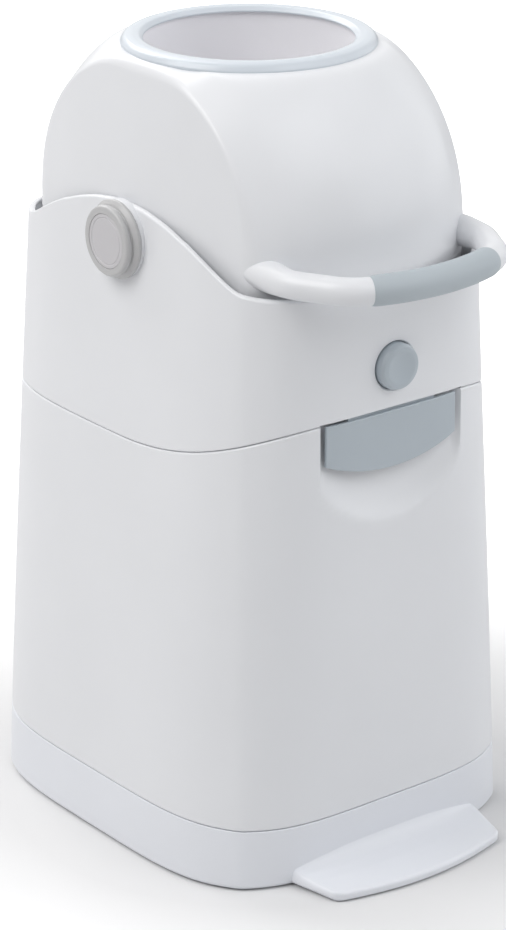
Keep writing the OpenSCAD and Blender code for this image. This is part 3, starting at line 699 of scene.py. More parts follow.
@dataclass
class Base:
    """Base band with its floor, screw pillars and toe plate."""

    housing: Housing
    bottom: float = 1.2 * MM
    floor: float = 6 * MM
    floor_inset: float = 1.6 * MM
    spigot_rise: float = 14 * MM
    pillar: float = 6.5 * MM
    screw_bore: float = 4.6 * MM
    screw_hole: float = 2.2 * MM
    screw_seat: float = 42 * MM
    rib: float = 1 * MM
    rib_top: float = 6.5 * MM
    runner_x: float = 62 * MM
    runner_reach: float = 130 * MM
    cross_y: float = 70 * MM
    cross_reach: float = 120 * MM
    toe_reach: float = 52 * MM
    toe_half: float = 80.5 * MM
    toe_root_half: float = 93 * MM
    toe_edge: float = 8.2 * MM
    toe_rise: float = 13 * MM
    toe_bow: float = 14 * MM
    toe_round: float = 3.4 * MM
    toe_corner: float = 7 * MM
    toe_columns: int = 72

    def band(self) -> Shape:
        """Outer wall with a rounded foot and the spigot that enters the body.

        Returns:
            The wall's surface.
        """
        h = self.housing
        top = h.base_top - h.seam_gap
        spigot_top, spigot_out, spigot_in = top + self.spigot_rise, 3.3 * MM, 5.8 * MM
        corners = [(0.2 * MM, self.bottom, 7 * MM), (0, top, 0.9 * MM), (spigot_out, top, 0),
                   (spigot_out, spigot_top, 0.5 * MM), (spigot_in, spigot_top, 0.5 * MM),
                   (spigot_in, top - 12 * MM, 0), (h.wall, top - 16 * MM, 0),
                   (4.2 * MM, self.bottom + 8 * MM, 0), (7.5 * MM, self.bottom, 0.5 * MM)]
        section = filleted(corners, closed=True, segments=6)
        return h.wall_round(lambda y: section)

    def toe_plate(self) -> Shape:
        """Plate that a foot holds down, thin in front and rising in a hollow curve to the wall.

        Returns:
            The plate's surface.
        """
        h = self.housing
        middle = h.pivot.y - h.depth_at(0) - self.toe_reach
        rows = []
        for i in range(self.toe_columns + 1):
            u = math.sin(math.pi * (i / self.toe_columns - 0.5))
            from_end = self.toe_half * (1 - abs(u))
            edge = max(1 - from_end / self.toe_round, 0.0)
            thin = math.sqrt(max(1 - edge ** 2, 0.0))
            corner = max(1 - from_end / self.toe_corner, 0.0)
            retreat = self.toe_corner * (1 - math.sqrt(max(1 - corner ** 2, 0.0)))
            front = middle + self.toe_bow * u * u + retreat
            rows.append([self.toe_point(u, y, z, thin) for y, z in self.toe_section(front, u)])
        return Shape().grid(rows)

    def toe_section(self, front: float, u: float) -> list[Point2]:
        """Section of the toe plate, from its front edge back into the wall.

        Args:
            front: Y of the front edge.
            u: Place across the plate, from -1 to 1. The rise to the wall dies out at both ends.

        Returns:
            The section as (y, z) points.
        """
        wall_y = self.housing.front_at(u * self.toe_root_half, self.toe_edge)
        root, run = wall_y + 4 * MM, wall_y - front
        rise = self.toe_rise * (1 - abs(u) ** 3)
        edge = self.toe_edge
        top = [(front, self.bottom, 2.2 * MM), (front, edge, 3.2 * MM),
               (front + 0.55 * run, edge + 2.2 * MM, 40 * MM),
               (wall_y - 9 * MM, edge + 3.6 * MM + 0.1 * rise, 20 * MM),
               (wall_y - 1.5 * MM, edge + 4.2 * MM + 0.45 * rise, 12 * MM),
               (wall_y + 1.4 * MM, edge + 4.6 * MM + rise, 3 * MM),
               (root, edge + 4.6 * MM + rise, 0), (root, self.bottom, 0)]
        return filleted(top, closed=True, segments=8)

    def toe_point(self, u: float, y: float, z: float, thin: float) -> Vector:
        """Point of the toe plate, widened towards the wall and thinned to a round side edge.

        Args:
            u: Place across the plate, from -1 to 1.
            y: Its y in the section.
            z: Its z in the section.
            thin: Share of the thickness that is left there.

        Returns:
            The point.
        """
        h = self.housing
        wall_y = h.pivot.y - h.depth_at(0)
        back = clamped((y - (wall_y - self.toe_reach)) / self.toe_reach)
        half = self.toe_half + (self.toe_root_half - self.toe_half) * back
        middle = self.bottom + 0.5 * (self.toe_edge - self.bottom)
        return Vector((u * half, y, middle + (z - middle) * thin))

    def build(self) -> None:
        """Build and dress the base."""
        h = self.housing
        piece = Piece("base_moulding", self.band())
        piece.add(h.slab(self.floor, self.floor + h.wall, self.floor_inset))
        low, top, seat = self.floor - 1 * MM, h.screw_level - 0.5 * MM, self.screw_seat
        pillar = filleted([(self.screw_bore, low, 0.4 * MM), (self.pillar, low, 0.6 * MM),
                           (self.pillar, top, 0.6 * MM), (self.screw_hole, top, 0.3 * MM),
                           (self.screw_hole, seat, 0), (self.screw_bore, seat, 0)], closed=True)
        details = Shape()
        for place in h.corners(h.screw_level, h.screw_inset):
            details.lathe(pillar, Axis.Z, Vector((place.x, place.y, 0)), steps=32)
        middle = h.pivot.y
        for x in (-self.runner_x, self.runner_x):
            details.block((middle - self.runner_reach, self.bottom + 1 * MM),
                          (middle + self.runner_reach, self.rib_top), x - self.rib, x + self.rib)
        for y in (middle - self.cross_y, middle + self.cross_y):
            details.block((y - self.rib, self.bottom + 1.3 * MM), (y + self.rib, self.rib_top),
                          -self.cross_reach, self.cross_reach)
        piece.add(details)
        piece.add(self.toe_plate())
        piece.dress(BASE_WHITE, "bin", ["base"])


@dataclass
class Body:
    """The bin's body with the finger dish in its front and the seats of the catch behind it."""

    housing: Housing
    dish_reach: float = 83 * MM
    dish_depth: float = 20 * MM
    dish_half: float = 66.5 * MM
    dish_edge: float = 2.5 * MM
    dish_blend: float = 2.2 * MM
    catch_gap: float = 9.5 * MM
    boss: float = 8 * MM
    boss_bore: float = 2.05 * MM
    boss_rise: float = 20 * MM
    lug_reach: tuple[float, float] = (62 * MM, 78 * MM)
    rows_outside: int = 64

    @property
    def dish_middle(self) -> float:
        """Height of the dish's deepest point."""
        return self.housing.seam_front - 6 * MM

    @property
    def dish_radius(self) -> float:
        """Radius of the sphere that the dish is part of."""
        return (self.dish_reach ** 2 + self.dish_depth ** 2) / (2 * self.dish_depth)

    def dish(self, p: Vector) -> float:
        """How far the finger dish pushes a point of the wall in.

        Args:
            p: The point.

        Returns:
            The distance, 0 outside the dish.
        """
        if p.y > self.housing.pivot.y:
            return 0.0
        off = math.hypot(p.x, p.z - self.dish_middle)
        if off >= 1.4 * self.dish_reach:
            return 0.0
        radius, soft = self.dish_radius, self.dish_blend
        hollow = math.sqrt(max(radius ** 2 - off ** 2, 0.0)) - (radius - self.dish_depth)
        depth = soft_max(hollow, 0.0, soft) - 0.5 * soft * math.exp(-abs(hollow) / soft)
        step = clamped((self.dish_half - abs(p.x)) / self.dish_edge + 0.5)
        return max(depth, 0.0) * smooth_step(step)

    def section(self, y: float) -> list[Point2]:
        """Section of the wall, with rows enough for the dish.

        Args:
            y: Distance from the middle.

        Returns:
            The section as (inset, z) points.
        """
        h = self.housing
        low, high = h.base_top + h.seam_gap, h.seam(y) - h.seam_gap
        edge, margin = 1.5 * MM, 10 * MM
        foot = filleted([(h.wall, low, 0), (0, low, edge), (0, low + margin, 0)], closed=False)
        head = filleted([(0, high - margin, 0), (0, high, edge), (h.wall, high, 0.6 * MM),
                         (h.wall, high - margin, 0)], closed=False)
        start, end = foot[-1][1], head[0][1]
        many, half = self.rows_outside, self.rows_outside // 2
        outside = [(0.0, start + (end - start) * k / many) for k in range(1, many)]
        inside = [(h.wall, end + (low + margin - end) * k / half) for k in range(1, half)]
        return foot + outside + head + inside

    def build(self) -> None:
        """Build and dress the body."""
        h = self.housing
        piece = Piece("body_moulding", h.wall_round(self.section, self.dish))
        details = Shape()
        deepest = h.pivot.y - h.depth_at(self.dish_middle) + self.dish_depth
        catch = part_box("catch_plate")
        for x0, x1 in ((catch[0].x, -self.catch_gap), (self.catch_gap, catch[1].x)):
            details.block((deepest, catch[0].z), (catch[0].y, catch[1].z), x0, x1)
        boss = sleeve(self.boss_bore, self.boss, h.screw_level + 0.4 * MM,
                      h.screw_level + self.boss_rise, low_round=0.6 * MM, high_round=0.6 * MM)
        for place in h.corners(h.screw_level, h.screw_inset):
            details.lathe(boss, Axis.Z, Vector((place.x, place.y, 0)), steps=32)
        piece.add(details)
        near, far = self.lug_reach
        for x0, x1 in ((-far, -near), (near, far)):
            piece.add(hinge_lug(h, x0, x1, upward=False))
        piece.dress(SHELL_WHITE, "bin", ["bin_body"])


def hinge_lug(housing: Housing, x0: float, x1: float, upward: bool) -> Shape:
    """Lug of the rear hinge, a round eye on an arm that grows out of the wall.

    Args:
        housing: The shared outline.
        x0: One end of the lug.
        x1: The other end.
        upward: Whether the arm rises to the hood or falls to the body.

    Returns:
        The lug's surface.
    """
    eye, arm, gap = 8 * MM, 22 * MM, 0.5 * MM
    sign = 1 if upward else -1
    y, z = housing.hinge.y, housing.hinge.z
    inside = y - 2 * eye
    outline = [(inside, z + sign * arm), (inside, z + sign * gap), (y - eye, z + sign * gap)]
    outline += [(y - eye * math.cos(t), z - sign * eye * math.sin(t))
                for t in (math.pi * k / 20 for k in range(1, 25))]
    shape = Shape().prism(outline, x0, x1)
    for p in shape.points:
        if p.y < y - 1.5 * eye:
            p.y = 2 * housing.pivot.y - housing.front_at(p.x, z, housing.wall / 2)
    return shape


@dataclass
class Hood:
    """The hinged hood that carries the drum, with its pads, button hole and screw bosses."""

    housing: Housing
    bead: float = 4.4 * MM
    button_z: float = 405 * MM
    hole: float = 18.9 * MM
    hole_bevel: float = 5.9 * MM
    pad: float = 30 * MM
    lip_slot: float = 68.8 * MM
    lug_reach: float = 61.7 * MM
    latch_x: float = 28 * MM
    latch_heights: tuple[float, float] = (-12 * MM, 6 * MM)
    boss: float = 6.5 * MM
    boss_inset: float = 8.8 * MM
    boss_rise: float = 22 * MM
    boss_slope: float = 0.113
    rows_outside: int = 24

    def section(self, y: float) -> list[Point2]:
        """Section of the wall, from its spigot over the outside and the rim to the inside.

        Args:
            y: Distance from the middle.

        Returns:
            The section as (inset, z) points.
        """
        h = self.housing
        seam, high, bead = h.seam(y), h.rim(y), self.bead
        low, foot = seam + h.seam_gap, seam - 4.5 * MM
        spigot_in, spigot_out = h.wall + 0.8 * MM, h.wall + 2.8 * MM
        outside = filleted([(spigot_in, low, 0), (0, low, 1.5 * MM), (0, low + 10 * MM, 0)],
                           closed=False)
        start, end, many = outside[-1][1], high - 8 * MM, self.rows_outside
        rows = [(0.0, start + (end - start) * k / many) for k in range(1, many)]
        rim = filleted([(0, end, 0), (0, high, bead), (bead + 0.4 * MM, high, 1.0 * MM),
                        (bead, high - 2.6 * MM, 0.6 * MM), (h.wall, high - bead, 0),
                        (h.wall, seam + 8 * MM, 0), (spigot_out, seam + 5 * MM, 0),
                        (spigot_out, foot, 0.5 * MM), (spigot_in, foot, 0)], closed=False)
        return outside + rows + rim

    def build(self) -> None:
        """Build and dress the hood."""
        h = self.housing
        piece = Piece("hood_moulding", h.wall_round(self.section))
        front = h.pivot.y - h.depth_at(self.button_z)
        slot = Shape().block((front - 20 * MM, h.seam_level),
                             (front + 40 * MM, h.seam_front + 0.2 * MM),
                             -self.lip_slot, self.lip_slot)
        piece.carve(slot, Carve.CUT_AWAY)
        ahead, behind = -5 * MM, 12 * MM
        hole = Shape().lathe([(0, ahead), (self.hole + self.hole_bevel, ahead),
                              (self.hole, 0.9 * MM), (self.hole, behind), (0, behind)],
                             Axis.Y, Vector((0, front, self.button_z)), steps=128)
        piece.carve(hole, Carve.CUT_AWAY)
        piece.add(self.pads())
        piece.add(self.bosses(front))
        piece.add(hinge_lug(h, -self.lug_reach, self.lug_reach, upward=True))
        piece.dress(SHELL_WHITE, "hood", ["hood_shell"])

    def pads(self) -> Shape:
        """Round pads that hold the bushes at the pivots.

        Returns:
            The pads' surfaces.
        """
        shape = Shape()
        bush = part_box("bush_right")
        inner, outer = bush[0].x, bush[1].x
        bore, seat, recess = 15 * MM, 18 * MM, outer - 1.5 * MM
        section = filleted([(bore, inner, 0), (self.pad, inner, 0.4 * MM),
                            (self.pad, outer, 0.8 * MM), (seat, outer, 0.3 * MM),
                            (seat, recess, 0), (bore, recess, 0)], closed=True)
        for side in Side:
            shape.lathe(section, Axis.X, self.housing.pivot, side=side)
        return shape

    def bosses(self, front: float) -> Shape:
        """Bosses for the latch frame and the collar.

        Args:
            front: Y of the front face at the button.

        Returns:
            The bosses' surfaces.
        """
        h = self.housing
        shape = Shape()
        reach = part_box("latch_frame")[0].y + 7 * MM - front
        post = sleeve(1.3 * MM, 4 * MM, 2 * MM, reach, high_round=0.5 * MM)
        for x in (-self.latch_x, self.latch_x):
            for z in self.latch_heights:
                shape.lathe(post, Axis.Y, Vector((x, front, self.button_z + z)), steps=28)
        for place in h.corners(h.seam_front, self.boss_inset):
            back = h.depth_at(0) - h.wall + h.pivot.y - place.y
            low = h.seam_level + 9 * MM + back * self.boss_slope
            boss = sleeve(1.55 * MM, self.boss, low, low + self.boss_rise, low_round=0.6 * MM)
            shape.lathe(boss, Axis.Z, Vector((place.x, place.y, 0)), steps=28)
        return shape


@dataclass
class LiftLip:
    """Grey lip under the hood's front edge, screwed on by a tongue."""

    housing: Housing
    half: float = 63 * MM
    inset: float = 0.6 * MM
    thick: float = 2.8 * MM
    side_height: float = 32 * MM
    bow: float = 13 * MM
    tongue_half: float = 42 * MM
    tongue_thick: float = 2.1 * MM

    def build(self) -> None:
        """Build and dress the lip."""
        h = self.housing
        top = h.seam_front - 2.5 * MM
        across, down = 60, 14
        rows = []
        for i in range(across + 1):
            x = self.half * (2 * i / across - 1)
            low = top - self.side_height - self.bow * (1 - (x / self.half) ** 2)
            heights = [low + (top - low) * k / down for k in range(down + 1)]
            outer = [Vector((x, h.front_at(x, z, self.inset), z)) for z in heights]
            inner = [Vector((x, h.front_at(x, z, self.inset + self.thick), z))
                     for z in reversed(heights)]
            rows.append(outer + inner)
        piece = Piece("lifting_lip", Shape().capped(rows)).bevel(0.9 * MM)
        near = h.pivot.y - h.depth_at(top) + h.wall + 0.3 * MM
        far, low, high = near + self.tongue_thick, top - 4 * MM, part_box("lift_lip")[1].z
        section = filleted([(near, low, 0.3 * MM), (far, low, 0.3 * MM), (far, high, 0.5 * MM),
                            (near, high, 0.5 * MM)], closed=True)
        piece.add(Shape().prism(section, -self.tongue_half, self.tongue_half))
        piece.dress(TRIM_GREY, "hood", ["lift_lip"])


@dataclass
class Button:
    """Round release button with a hollowed face."""

    housing: Housing
    radius: float = 17.9 * MM
    proud: float = 2.8 * MM
    flange: float = 21 * MM
    flange_thick: float = 1.8 * MM
    stem: float = 2 * MM
    hollow: float = 1.3 * MM
    hollow_radius: float = 12.4 * MM

    def build(self) -> None:
        """Build and dress the button."""
        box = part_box("release_button")
        face = box[0].y - self.proud
        z = 0.5 * (box[0].z + box[1].z)
        h = self.housing
        back = h.pivot.y - h.depth_at(z) + h.wall + 0.3 * MM - face
        behind, end = back + self.flange_thick, box[1].y - face
        dish = [(self.hollow_radius * k / 10, self.hollow * (1 - (k / 10) ** 2)) for k in range(11)]
        rim = filleted([dish[-1] + (0,), (13.2 * MM, 0.0, 0.5 * MM),
                        (16.4 * MM, 0.5 * MM, 1.6 * MM), (self.radius, 3.4 * MM, 2.4 * MM),
                        (self.radius, back, 0),
                        (self.flange, back, 0.3 * MM), (self.flange, behind, 0.3 * MM),
                        (self.stem, behind, 0), (self.stem, end, 0.6 * MM), (0, end, 0)],
                       closed=False)
        shape = Shape().lathe(dish[:-1] + rim, Axis.Y, Vector((0, face, z)), steps=128)
        piece = Piece("release_button_cap", shape)
        piece.dress(TRIM_GREY, "button", ["release_button"], crease=50)


@dataclass
class ReleaseSprings:
    """Two coil springs behind the button, built at their rest length and hung on the hood; nothing here shortens
    them as the button is pressed in.
    """

    spread: float = 12.5 * MM
    coil: float = 3.4 * MM
    wire: float = 0.45 * MM
    free_turns: int = 4
    travel: float = 3.05 * MM

    def rise(self, turn: float, length: float) -> float:
        """How far along the spring the wire is after some turns, of which both end ones lie close.

        Args:
            turn: Turns from the spring's start.
            length: The spring's length.

        Returns:
            The distance from the spring's start.
        """
        close = 2.1 * self.wire
        pitch = (length - 2 * self.wire - 2 * close) / self.free_turns
        free = min(max(turn - 1, 0.0), self.free_turns)
        tight = min(turn, 1.0) + max(turn - 1 - self.free_turns, 0.0)
        return self.wire + close * tight + pitch * free

    def build(self) -> None:
        """Build and dress both springs."""
        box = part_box("button_springs")
        length, z = box[1].y - box[0].y, 0.5 * (box[0].z + box[1].z)
        steps, sides = 24, 10
        shape = Shape()
        for x in (-self.spread, self.spread):
            rows = []
            for i in range(steps * (self.free_turns + 2) + 1):
                turn = math.tau * i / steps
                outward = Vector((math.cos(turn), 0, math.sin(turn)))
                along = box[0].y + self.rise(i / steps, length)
                centre = Vector((x, along, z)) + self.coil * outward
                rows.append([centre + self.wire * (outward * math.cos(math.tau * k / sides)
                                                   + Vector((0, math.sin(math.tau * k / sides), 0)))
                             for k in range(sides)])
            shape.capped(rows)
        piece = Piece("release_springs", shape)
        piece.dress(PLATED, "hood", ["button_springs"], crease=60)
        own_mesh(piece.object)


@dataclass
class Drum:
    """The flip-over drum, turned about its pivots and cut flat at both ends, with its chute."""

    housing: Housing
    half_length: float = 115 * MM
    radius: float = 169.5 * MM
    ridge_x: float = 103.2 * MM
    ridge_r: float = 134.2 * MM
    side_swell: float = 2.0
    face_swell: float = 2.3
    crisp: float = 6 * MM
    soft: float = 26 * MM
    flat: float = 133.8 * MM
    shoulder: float = 5.5 * MM
    opening: float = 87.6 * MM
    split: float = -19 * MM
    split_gap: float = 0.2 * MM
    chute_inner: float = 83 * MM
    chute_outer: float = 85.5 * MM
    around: int = 288

    def profile(self, turn: float) -> list[Point2]:
        """Half section through the axis: slightly swelling side faces, ridges and broad face.

        Args:
            turn: Angle round the axis from straight up; the ridge is crisp on the way up and soft
                near both flat ends and at the level of the pivots.

        Returns:
            (x, radius) points from one end of the axis to the other.
        """
        softness = min(math.sin(turn) ** 12 + math.cos(turn) ** 24, 1.0)
        ridge = self.crisp + (self.soft - self.crisp) * softness
        inward, fall = self.half_length - self.ridge_x, self.radius - self.ridge_r
        side = [(self.half_length - inward * t ** self.side_swell, self.ridge_r * t, 0)
                for t in (k / 9 for k in range(8))]
        face = [(self.ridge_x * t, self.radius - fall * t ** self.face_swell, 0)
                for t in (k / 20 for k in range(17))]
        half = side + [(self.ridge_x, self.ridge_r, ridge)] + face[::-1]
        return filleted([(-x, r, f) for x, r, f in half] + half[-2::-1], closed=False, segments=12)

    def surface(self) -> Shape:
        """Whole outer surface with both ends flattened.

        Returns:
            The surface.
        """
        pivot = self.housing.pivot
        rows = []
        for i in range(self.around):
            turn = math.tau * i / self.around
            row = []
            for x, off in self.profile(turn):
                up = off * math.cos(turn)
                level = math.copysign(-soft_max(-abs(up), -self.flat, self.shoulder), up)
                row.append(pivot + Vector((x, off * math.sin(turn), level)))
            rows.append(row)
        return Shape().grid(rows, wrap_rows=True, wrap_points=False)

    def half(self, name: str, upper: bool) -> Piece:
        """One of the two shells.

        Args:
            name: The piece's name.
            upper: Whether it is the upper shell.

        Returns:
            The shell, with the chute's opening cut through it.
        """
        pivot, reach, tall = self.housing.pivot, 200 * MM, 300 * MM
        bore = Shape().lathe([(0, -reach), (self.opening, -reach), (self.opening, reach),
                              (0, reach)], Axis.Z, pivot, steps=160)
        piece = Piece(name, self.surface()).carve(bore, Carve.CUT_AWAY)
        level = pivot.z + self.split + (self.split_gap if upper else -self.split_gap)
        low, high = (level, level + tall) if upper else (level - tall, level)
        keep = Shape().block((pivot.y - reach, low), (pivot.y + reach, high), -reach, reach)
        return piece.carve(keep, Carve.KEEP_SHARED)

    def build(self) -> None:
        """Build and dress the drum, its handle and its grip."""
        handle = Handle(self.housing)
        upper = self.half("drum_top_cover", upper=True).add(handle.core())
        upper.dress(SHELL_WHITE, "drum", ["drum_upper"])
        self.half("drum_bottom_cover", upper=False).dress(SHELL_WHITE, "drum", ["drum_lower"])
        handle.dress_grip()
        self.chute()

    def chute(self) -> None:
        """Build and dress the chute that runs through the drum."""
        box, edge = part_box("chute_tube"), 0.4 * MM
        section = filleted([(self.chute_inner, box[0].z, edge), (self.chute_outer, box[0].z, edge),
                            (self.chute_outer, box[1].z, edge), (self.chute_inner, box[1].z, edge)],
                           closed=True)
        shape = Shape().lathe(section, Axis.Z, Vector((0, self.housing.pivot.y, 0)), steps=160)
        # The chute wall takes the lighter copy of inner white, painted light for its lit inside.
        Piece("chute_wall", shape).dress(CHUTE_PAINTED_LIGHT_WHITE, "drum", ["chute_tube"])


@dataclass
class Handle:
    """Tubular handle moulded with the drum's upper shell, and its grip."""

    housing: Housing
    reach: float = 222 * MM
    tube: float = 10.5 * MM
    bow_radius: float = 165 * MM
    bow_angle: float = math.radians(20)
    knee_radius: float = 38 * MM
    arm_angle: float = math.radians(61)
    root_bend: float = 30 * MM
    root_x: float = 92.5 * MM
    root_tube: float = 11.8 * MM
    root_swell: float = 22 * MM
    root_y: float = 144 * MM
    grip_tube: float = 11.4 * MM
    grip_gap: float = 0.1 * MM

    def bow_arc(self, start: float, end: float, steps: int) -> list[Vector]:
        """Points along the bow.

        Args:
            start: Angle from the front where they start.
            end: Angle where they end.
            steps: Steps between them.

        Returns:
            The points.
        """
        pivot = self.housing.pivot
        radius = self.bow_radius
        middle = pivot.y - self.reach + radius
        return [Vector((radius * math.sin(t), middle - radius * math.cos(t), pivot.z))
                for t in (start + (end - start) * k / steps for k in range(steps + 1))]

    def half_path(self) -> list[Vector]:
        """Centre line of the right half, from the bow's end to the root.

        Returns:
            Its points.
        """
        end = self.bow_arc(0, self.bow_angle, 1)[-1]
        a, b = self.bow_angle, self.arm_angle
        knee = end - self.knee_radius * Vector((math.sin(a), -math.cos(a), 0))
        points = [knee + self.knee_radius * Vector((math.sin(t), -math.cos(t), 0))
                  for t in (a + (b - a) * k / 14 for k in range(1, 15))]
        bend_end = self.root_x - self.root_bend * (1 - math.sin(b))
        run = (bend_end - points[-1].x) / math.cos(b)
        corner = points[-1] + run * Vector((math.cos(b), math.sin(b), 0))
        centre = corner - self.root_bend * Vector((math.sin(b), -math.cos(b), 0))
        points += [centre + self.root_bend * Vector((math.sin(t), -math.cos(t), 0))
                   for t in (b + (math.pi / 2 - b) * k / 8 for k in range(9))]
        into_drum = (3, 6, 9, 12, 15, 18, 21, 26, 32, 39)
        return points + [points[-1] + Vector((0, d * MM, 0)) for d in into_drum]

    def core(self) -> Shape:
        """The white tube from root to root, swelling where it enters the drum.

        Returns:
            The tube's surface.
        """
        half = self.half_path()
        bow = self.bow_arc(-self.bow_angle, self.bow_angle, 24)
        path = [Vector((-p.x, p.y, p.z)) for p in reversed(half)] + bow + half
        drum_face = self.housing.pivot.y - self.root_y
        near = [smooth_step(clamped((p.y - drum_face) / self.root_swell + 1)) for p in path]
        return Shape().tube(path, [self.tube + (self.root_tube - self.tube) * t for t in near])

    def dress_grip(self) -> None:
        """Build and dress the grip, a sleeve over the bow with rounded ends."""
        steps, ease = 60, 4
        inner = self.tube + self.grip_gap
        radii = []
        for i in range(steps + 1):
            edge = clamped(min(i, steps - i) / ease)
            radii.append(inner + (self.grip_tube - inner) * math.sqrt(1 - (1 - edge) ** 2))
        shape = Shape().tube(self.bow_arc(-self.bow_angle, self.bow_angle, steps), radii, sides=48)
        Piece("grip_sleeve", shape).dress(GRIP_GREY, "drum", ["handle_grip"])


@dataclass
class RimRing:
    """Grey ring round each end of the chute."""

    housing: Housing
    inner: float = 80.5 * MM
    outer: float = 98 * MM
    height: float = 5 * MM
    flat: float = 134.5 * MM
    skirt_inner: float = 85.8 * MM
    skirt_outer: float = 87.3 * MM
    skirt: float = 9 * MM
    lip_gap: float = 0.05 * MM

    def build(self) -> None:
        """Build and dress both rings."""
        inner, outer, high, low = self.inner, self.outer, self.height, -4.4 * MM
        outline = filleted([(inner, self.lip_gap, 0.3 * MM), (inner, 1.4 * MM, 0.5 * MM),
                            (inner + 3.0 * MM, high - 0.6 * MM, 4 * MM),
                            (inner + 8.5 * MM, high, 9 * MM),
                            (outer - 2.8 * MM, high - 1.6 * MM, 6 * MM),
                            (outer, -1.4 * MM, 3 * MM), (outer - 1.2 * MM, low, 0.5 * MM),
                            (outer - 10 * MM, low, 0), (self.skirt_outer, -self.skirt, 0.4 * MM),
                            (self.skirt_inner, -self.skirt, 0.4 * MM),
                            (self.skirt_inner, self.lip_gap, 0)], closed=True, segments=8)
        for name, up in (("top", 1), ("bottom", -1)):
            section = [(r, up * (self.flat + z)) for r, z in outline]
            shape = Shape().lathe(section, Axis.Z, self.housing.pivot, steps=192)
            piece = Piece(f"chute_rim_{name}", shape)
            piece.dress(RING_GREY, "drum", [f"rim_ring_{name}"], crease=50)


@dataclass
class Knobs:
    """Round knobs on the pivots: a flange, a neck and a front disc with a cap set in it."""

    housing: Housing
    flange: float = 30.8 * MM
    disc: float = 27.4 * MM
    cap: float = 21 * MM
    neck: float = 25.6 * MM
    stem: float = 12 * MM
    bush_gap: float = 0.35 * MM
    cap_gap: float = 0.15 * MM
    pocket: float = 3 * MM
    groove_inset: float = 3.2 * MM
    groove_depth: float = 0.45 * MM

    def build(self) -> None:
        """Build and dress both knobs and their caps."""
        for side, label in ((Side.LEFT, "left"), (Side.RIGHT, "right")):
            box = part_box(f"knob_{label}")
            inner, face = sorted(abs(x) for x in (box[0].x, box[1].x))
            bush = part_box(f"bush_{label}")[0 if side is Side.LEFT else 1].x
            centre = self.housing.pivot
            knob = self.knob(inner, abs(bush) + self.bush_gap, face)
            piece = Piece(f"pivot_knob_{label}",
                          Shape().lathe(knob, Axis.X, centre, steps=128, side=side))
            piece.dress(KNOB_GREY, "drum", [f"knob_{label}"], crease=50)
            plate = Piece(f"knob_disc_{label}",
                          Shape().lathe(self.lid(face), Axis.X, centre, steps=128, side=side))
            plate.dress(CAP_GREY, "drum", [f"knob_cap_{label}"], crease=50)

    def knob(self, inner: float, back: float, face: float) -> list[Point2]:
        """Half section of a knob.

        Args:
            inner: Where its stem starts, from mid width.
            back: Where its flange starts.
            face: Where its front lies.

        Returns:
            The section as (radius, distance from mid width) points.
        """
        pocket, floor = self.cap + self.cap_gap, face - self.pocket
        return filleted([(0, inner, 0), (self.stem, inner, 0.8 * MM), (self.stem, back, 0),
                         (self.flange - 0.6 * MM, back, 0.3 * MM),
                         (self.flange, back + 2.4 * MM, 1.6 * MM),
                         (self.flange - 3.4 * MM, back + 4.9 * MM, 1.6 * MM),
                         (self.neck, back + 5.6 * MM, 1.8 * MM),
                         (self.neck + 0.2 * MM, face - 4.6 * MM, 0.8 * MM),
                         (self.disc, face - 3.8 * MM, 0.9 * MM),
                         (self.disc - 0.4 * MM, face, 2.2 * MM), (pocket, face, 0.3 * MM),
                         (pocket, floor, 0), (0, floor, 0)], closed=False, segments=6)

    def lid(self, face: float) -> list[Point2]:
        """Half section of the cap that is set in a knob's front, with its fine groove.

        Args:
            face: Where the knob's front lies, from mid width.

        Returns:
            The section as (radius, distance from mid width) points.
        """
        top, under = face - 0.2 * MM, face - self.pocket + 0.2 * MM
        groove, half = self.cap - self.groove_inset, 0.6 * MM
        return filleted([(0, under, 0), (self.cap, under, 0), (self.cap, top, 0.6 * MM),
                         (groove + half, top, 0.15 * MM),
                         (groove, top - self.groove_depth, 0.2 * MM),
                         (groove - half, top, 0.15 * MM), (0, top, 0)], closed=False)


@dataclass
class Hardware:
    """Inner pieces and small parts whose CAD form is kept."""

    finishes: tuple[Finish, ...] = (PLATED, DARK_RUBBER, INNER_WHITE, TRIM_GREY, SHELL_WHITE,
                                    GRIP_GREY, KNOB_GREY)

    def build(self) -> None:
        """Give every node of the frame the finish of its slot."""
        by_slot = {finish.slot: finish for finish in self.finishes}
        for row in frame["record"]["subparts"]:
            node = frame["nodes"][row["node"]]
            node.data.materials.clear()
            node.data.materials.append(by_slot[row["material_slot"]].material())
        LOG.info("hardware: %d nodes dressed", len(frame["nodes"]))


@dataclass(frozen=True)
class SoftLamp:
    """Square soft lamp that faces the object.

    Attributes:
        title: The lamp's name.
        place: Where it stands.
        side: Length of its sides.
        power: Power in watts.
        colour: Its colour.
    """

    title: str
    place: tuple[float, float, float]
    side: float
    power: float
    colour: Colour

    def build(self, target: Vector) -> None:
        """Put the lamp into the scene.

        Args:
            target: The point that it faces.
        """
        data = bpy.data.lights.new(self.title, "AREA")
        data.size, data.energy, data.color = self.side, self.power, self.colour
        lamp = bpy.data.objects.new(self.title, data)
        lamp.location = self.place
        towards = target - Vector(self.place)
        lamp.rotation_euler = towards.to_track_quat("-Z", "Y").to_euler()
        bpy.context.scene.collection.objects.link(lamp)


WARM, COOL = (1.0, 0.99, 0.98), (0.975, 0.985, 1.0)
LAMPS = (
    SoftLamp("Front high", (0.3, -2.7, 3.3), 2.6, 34, COOL),
    SoftLamp("Front right", (2.4, -3.0, 1.6), 2.6, 25, COOL),
    SoftLamp("Right", (3.7, -0.6, 1.4), 2.6, 18, COOL),
    SoftLamp("Right high", (2.2, -1.9, 3.2), 2.6, 19, COOL),
    SoftLamp("Top left", (-2.6, 0.5, 3.2), 2.6, 86, WARM),
    SoftLamp("Top back", (0.0, 3.2, 3.2), 2.9, 88, WARM),
)


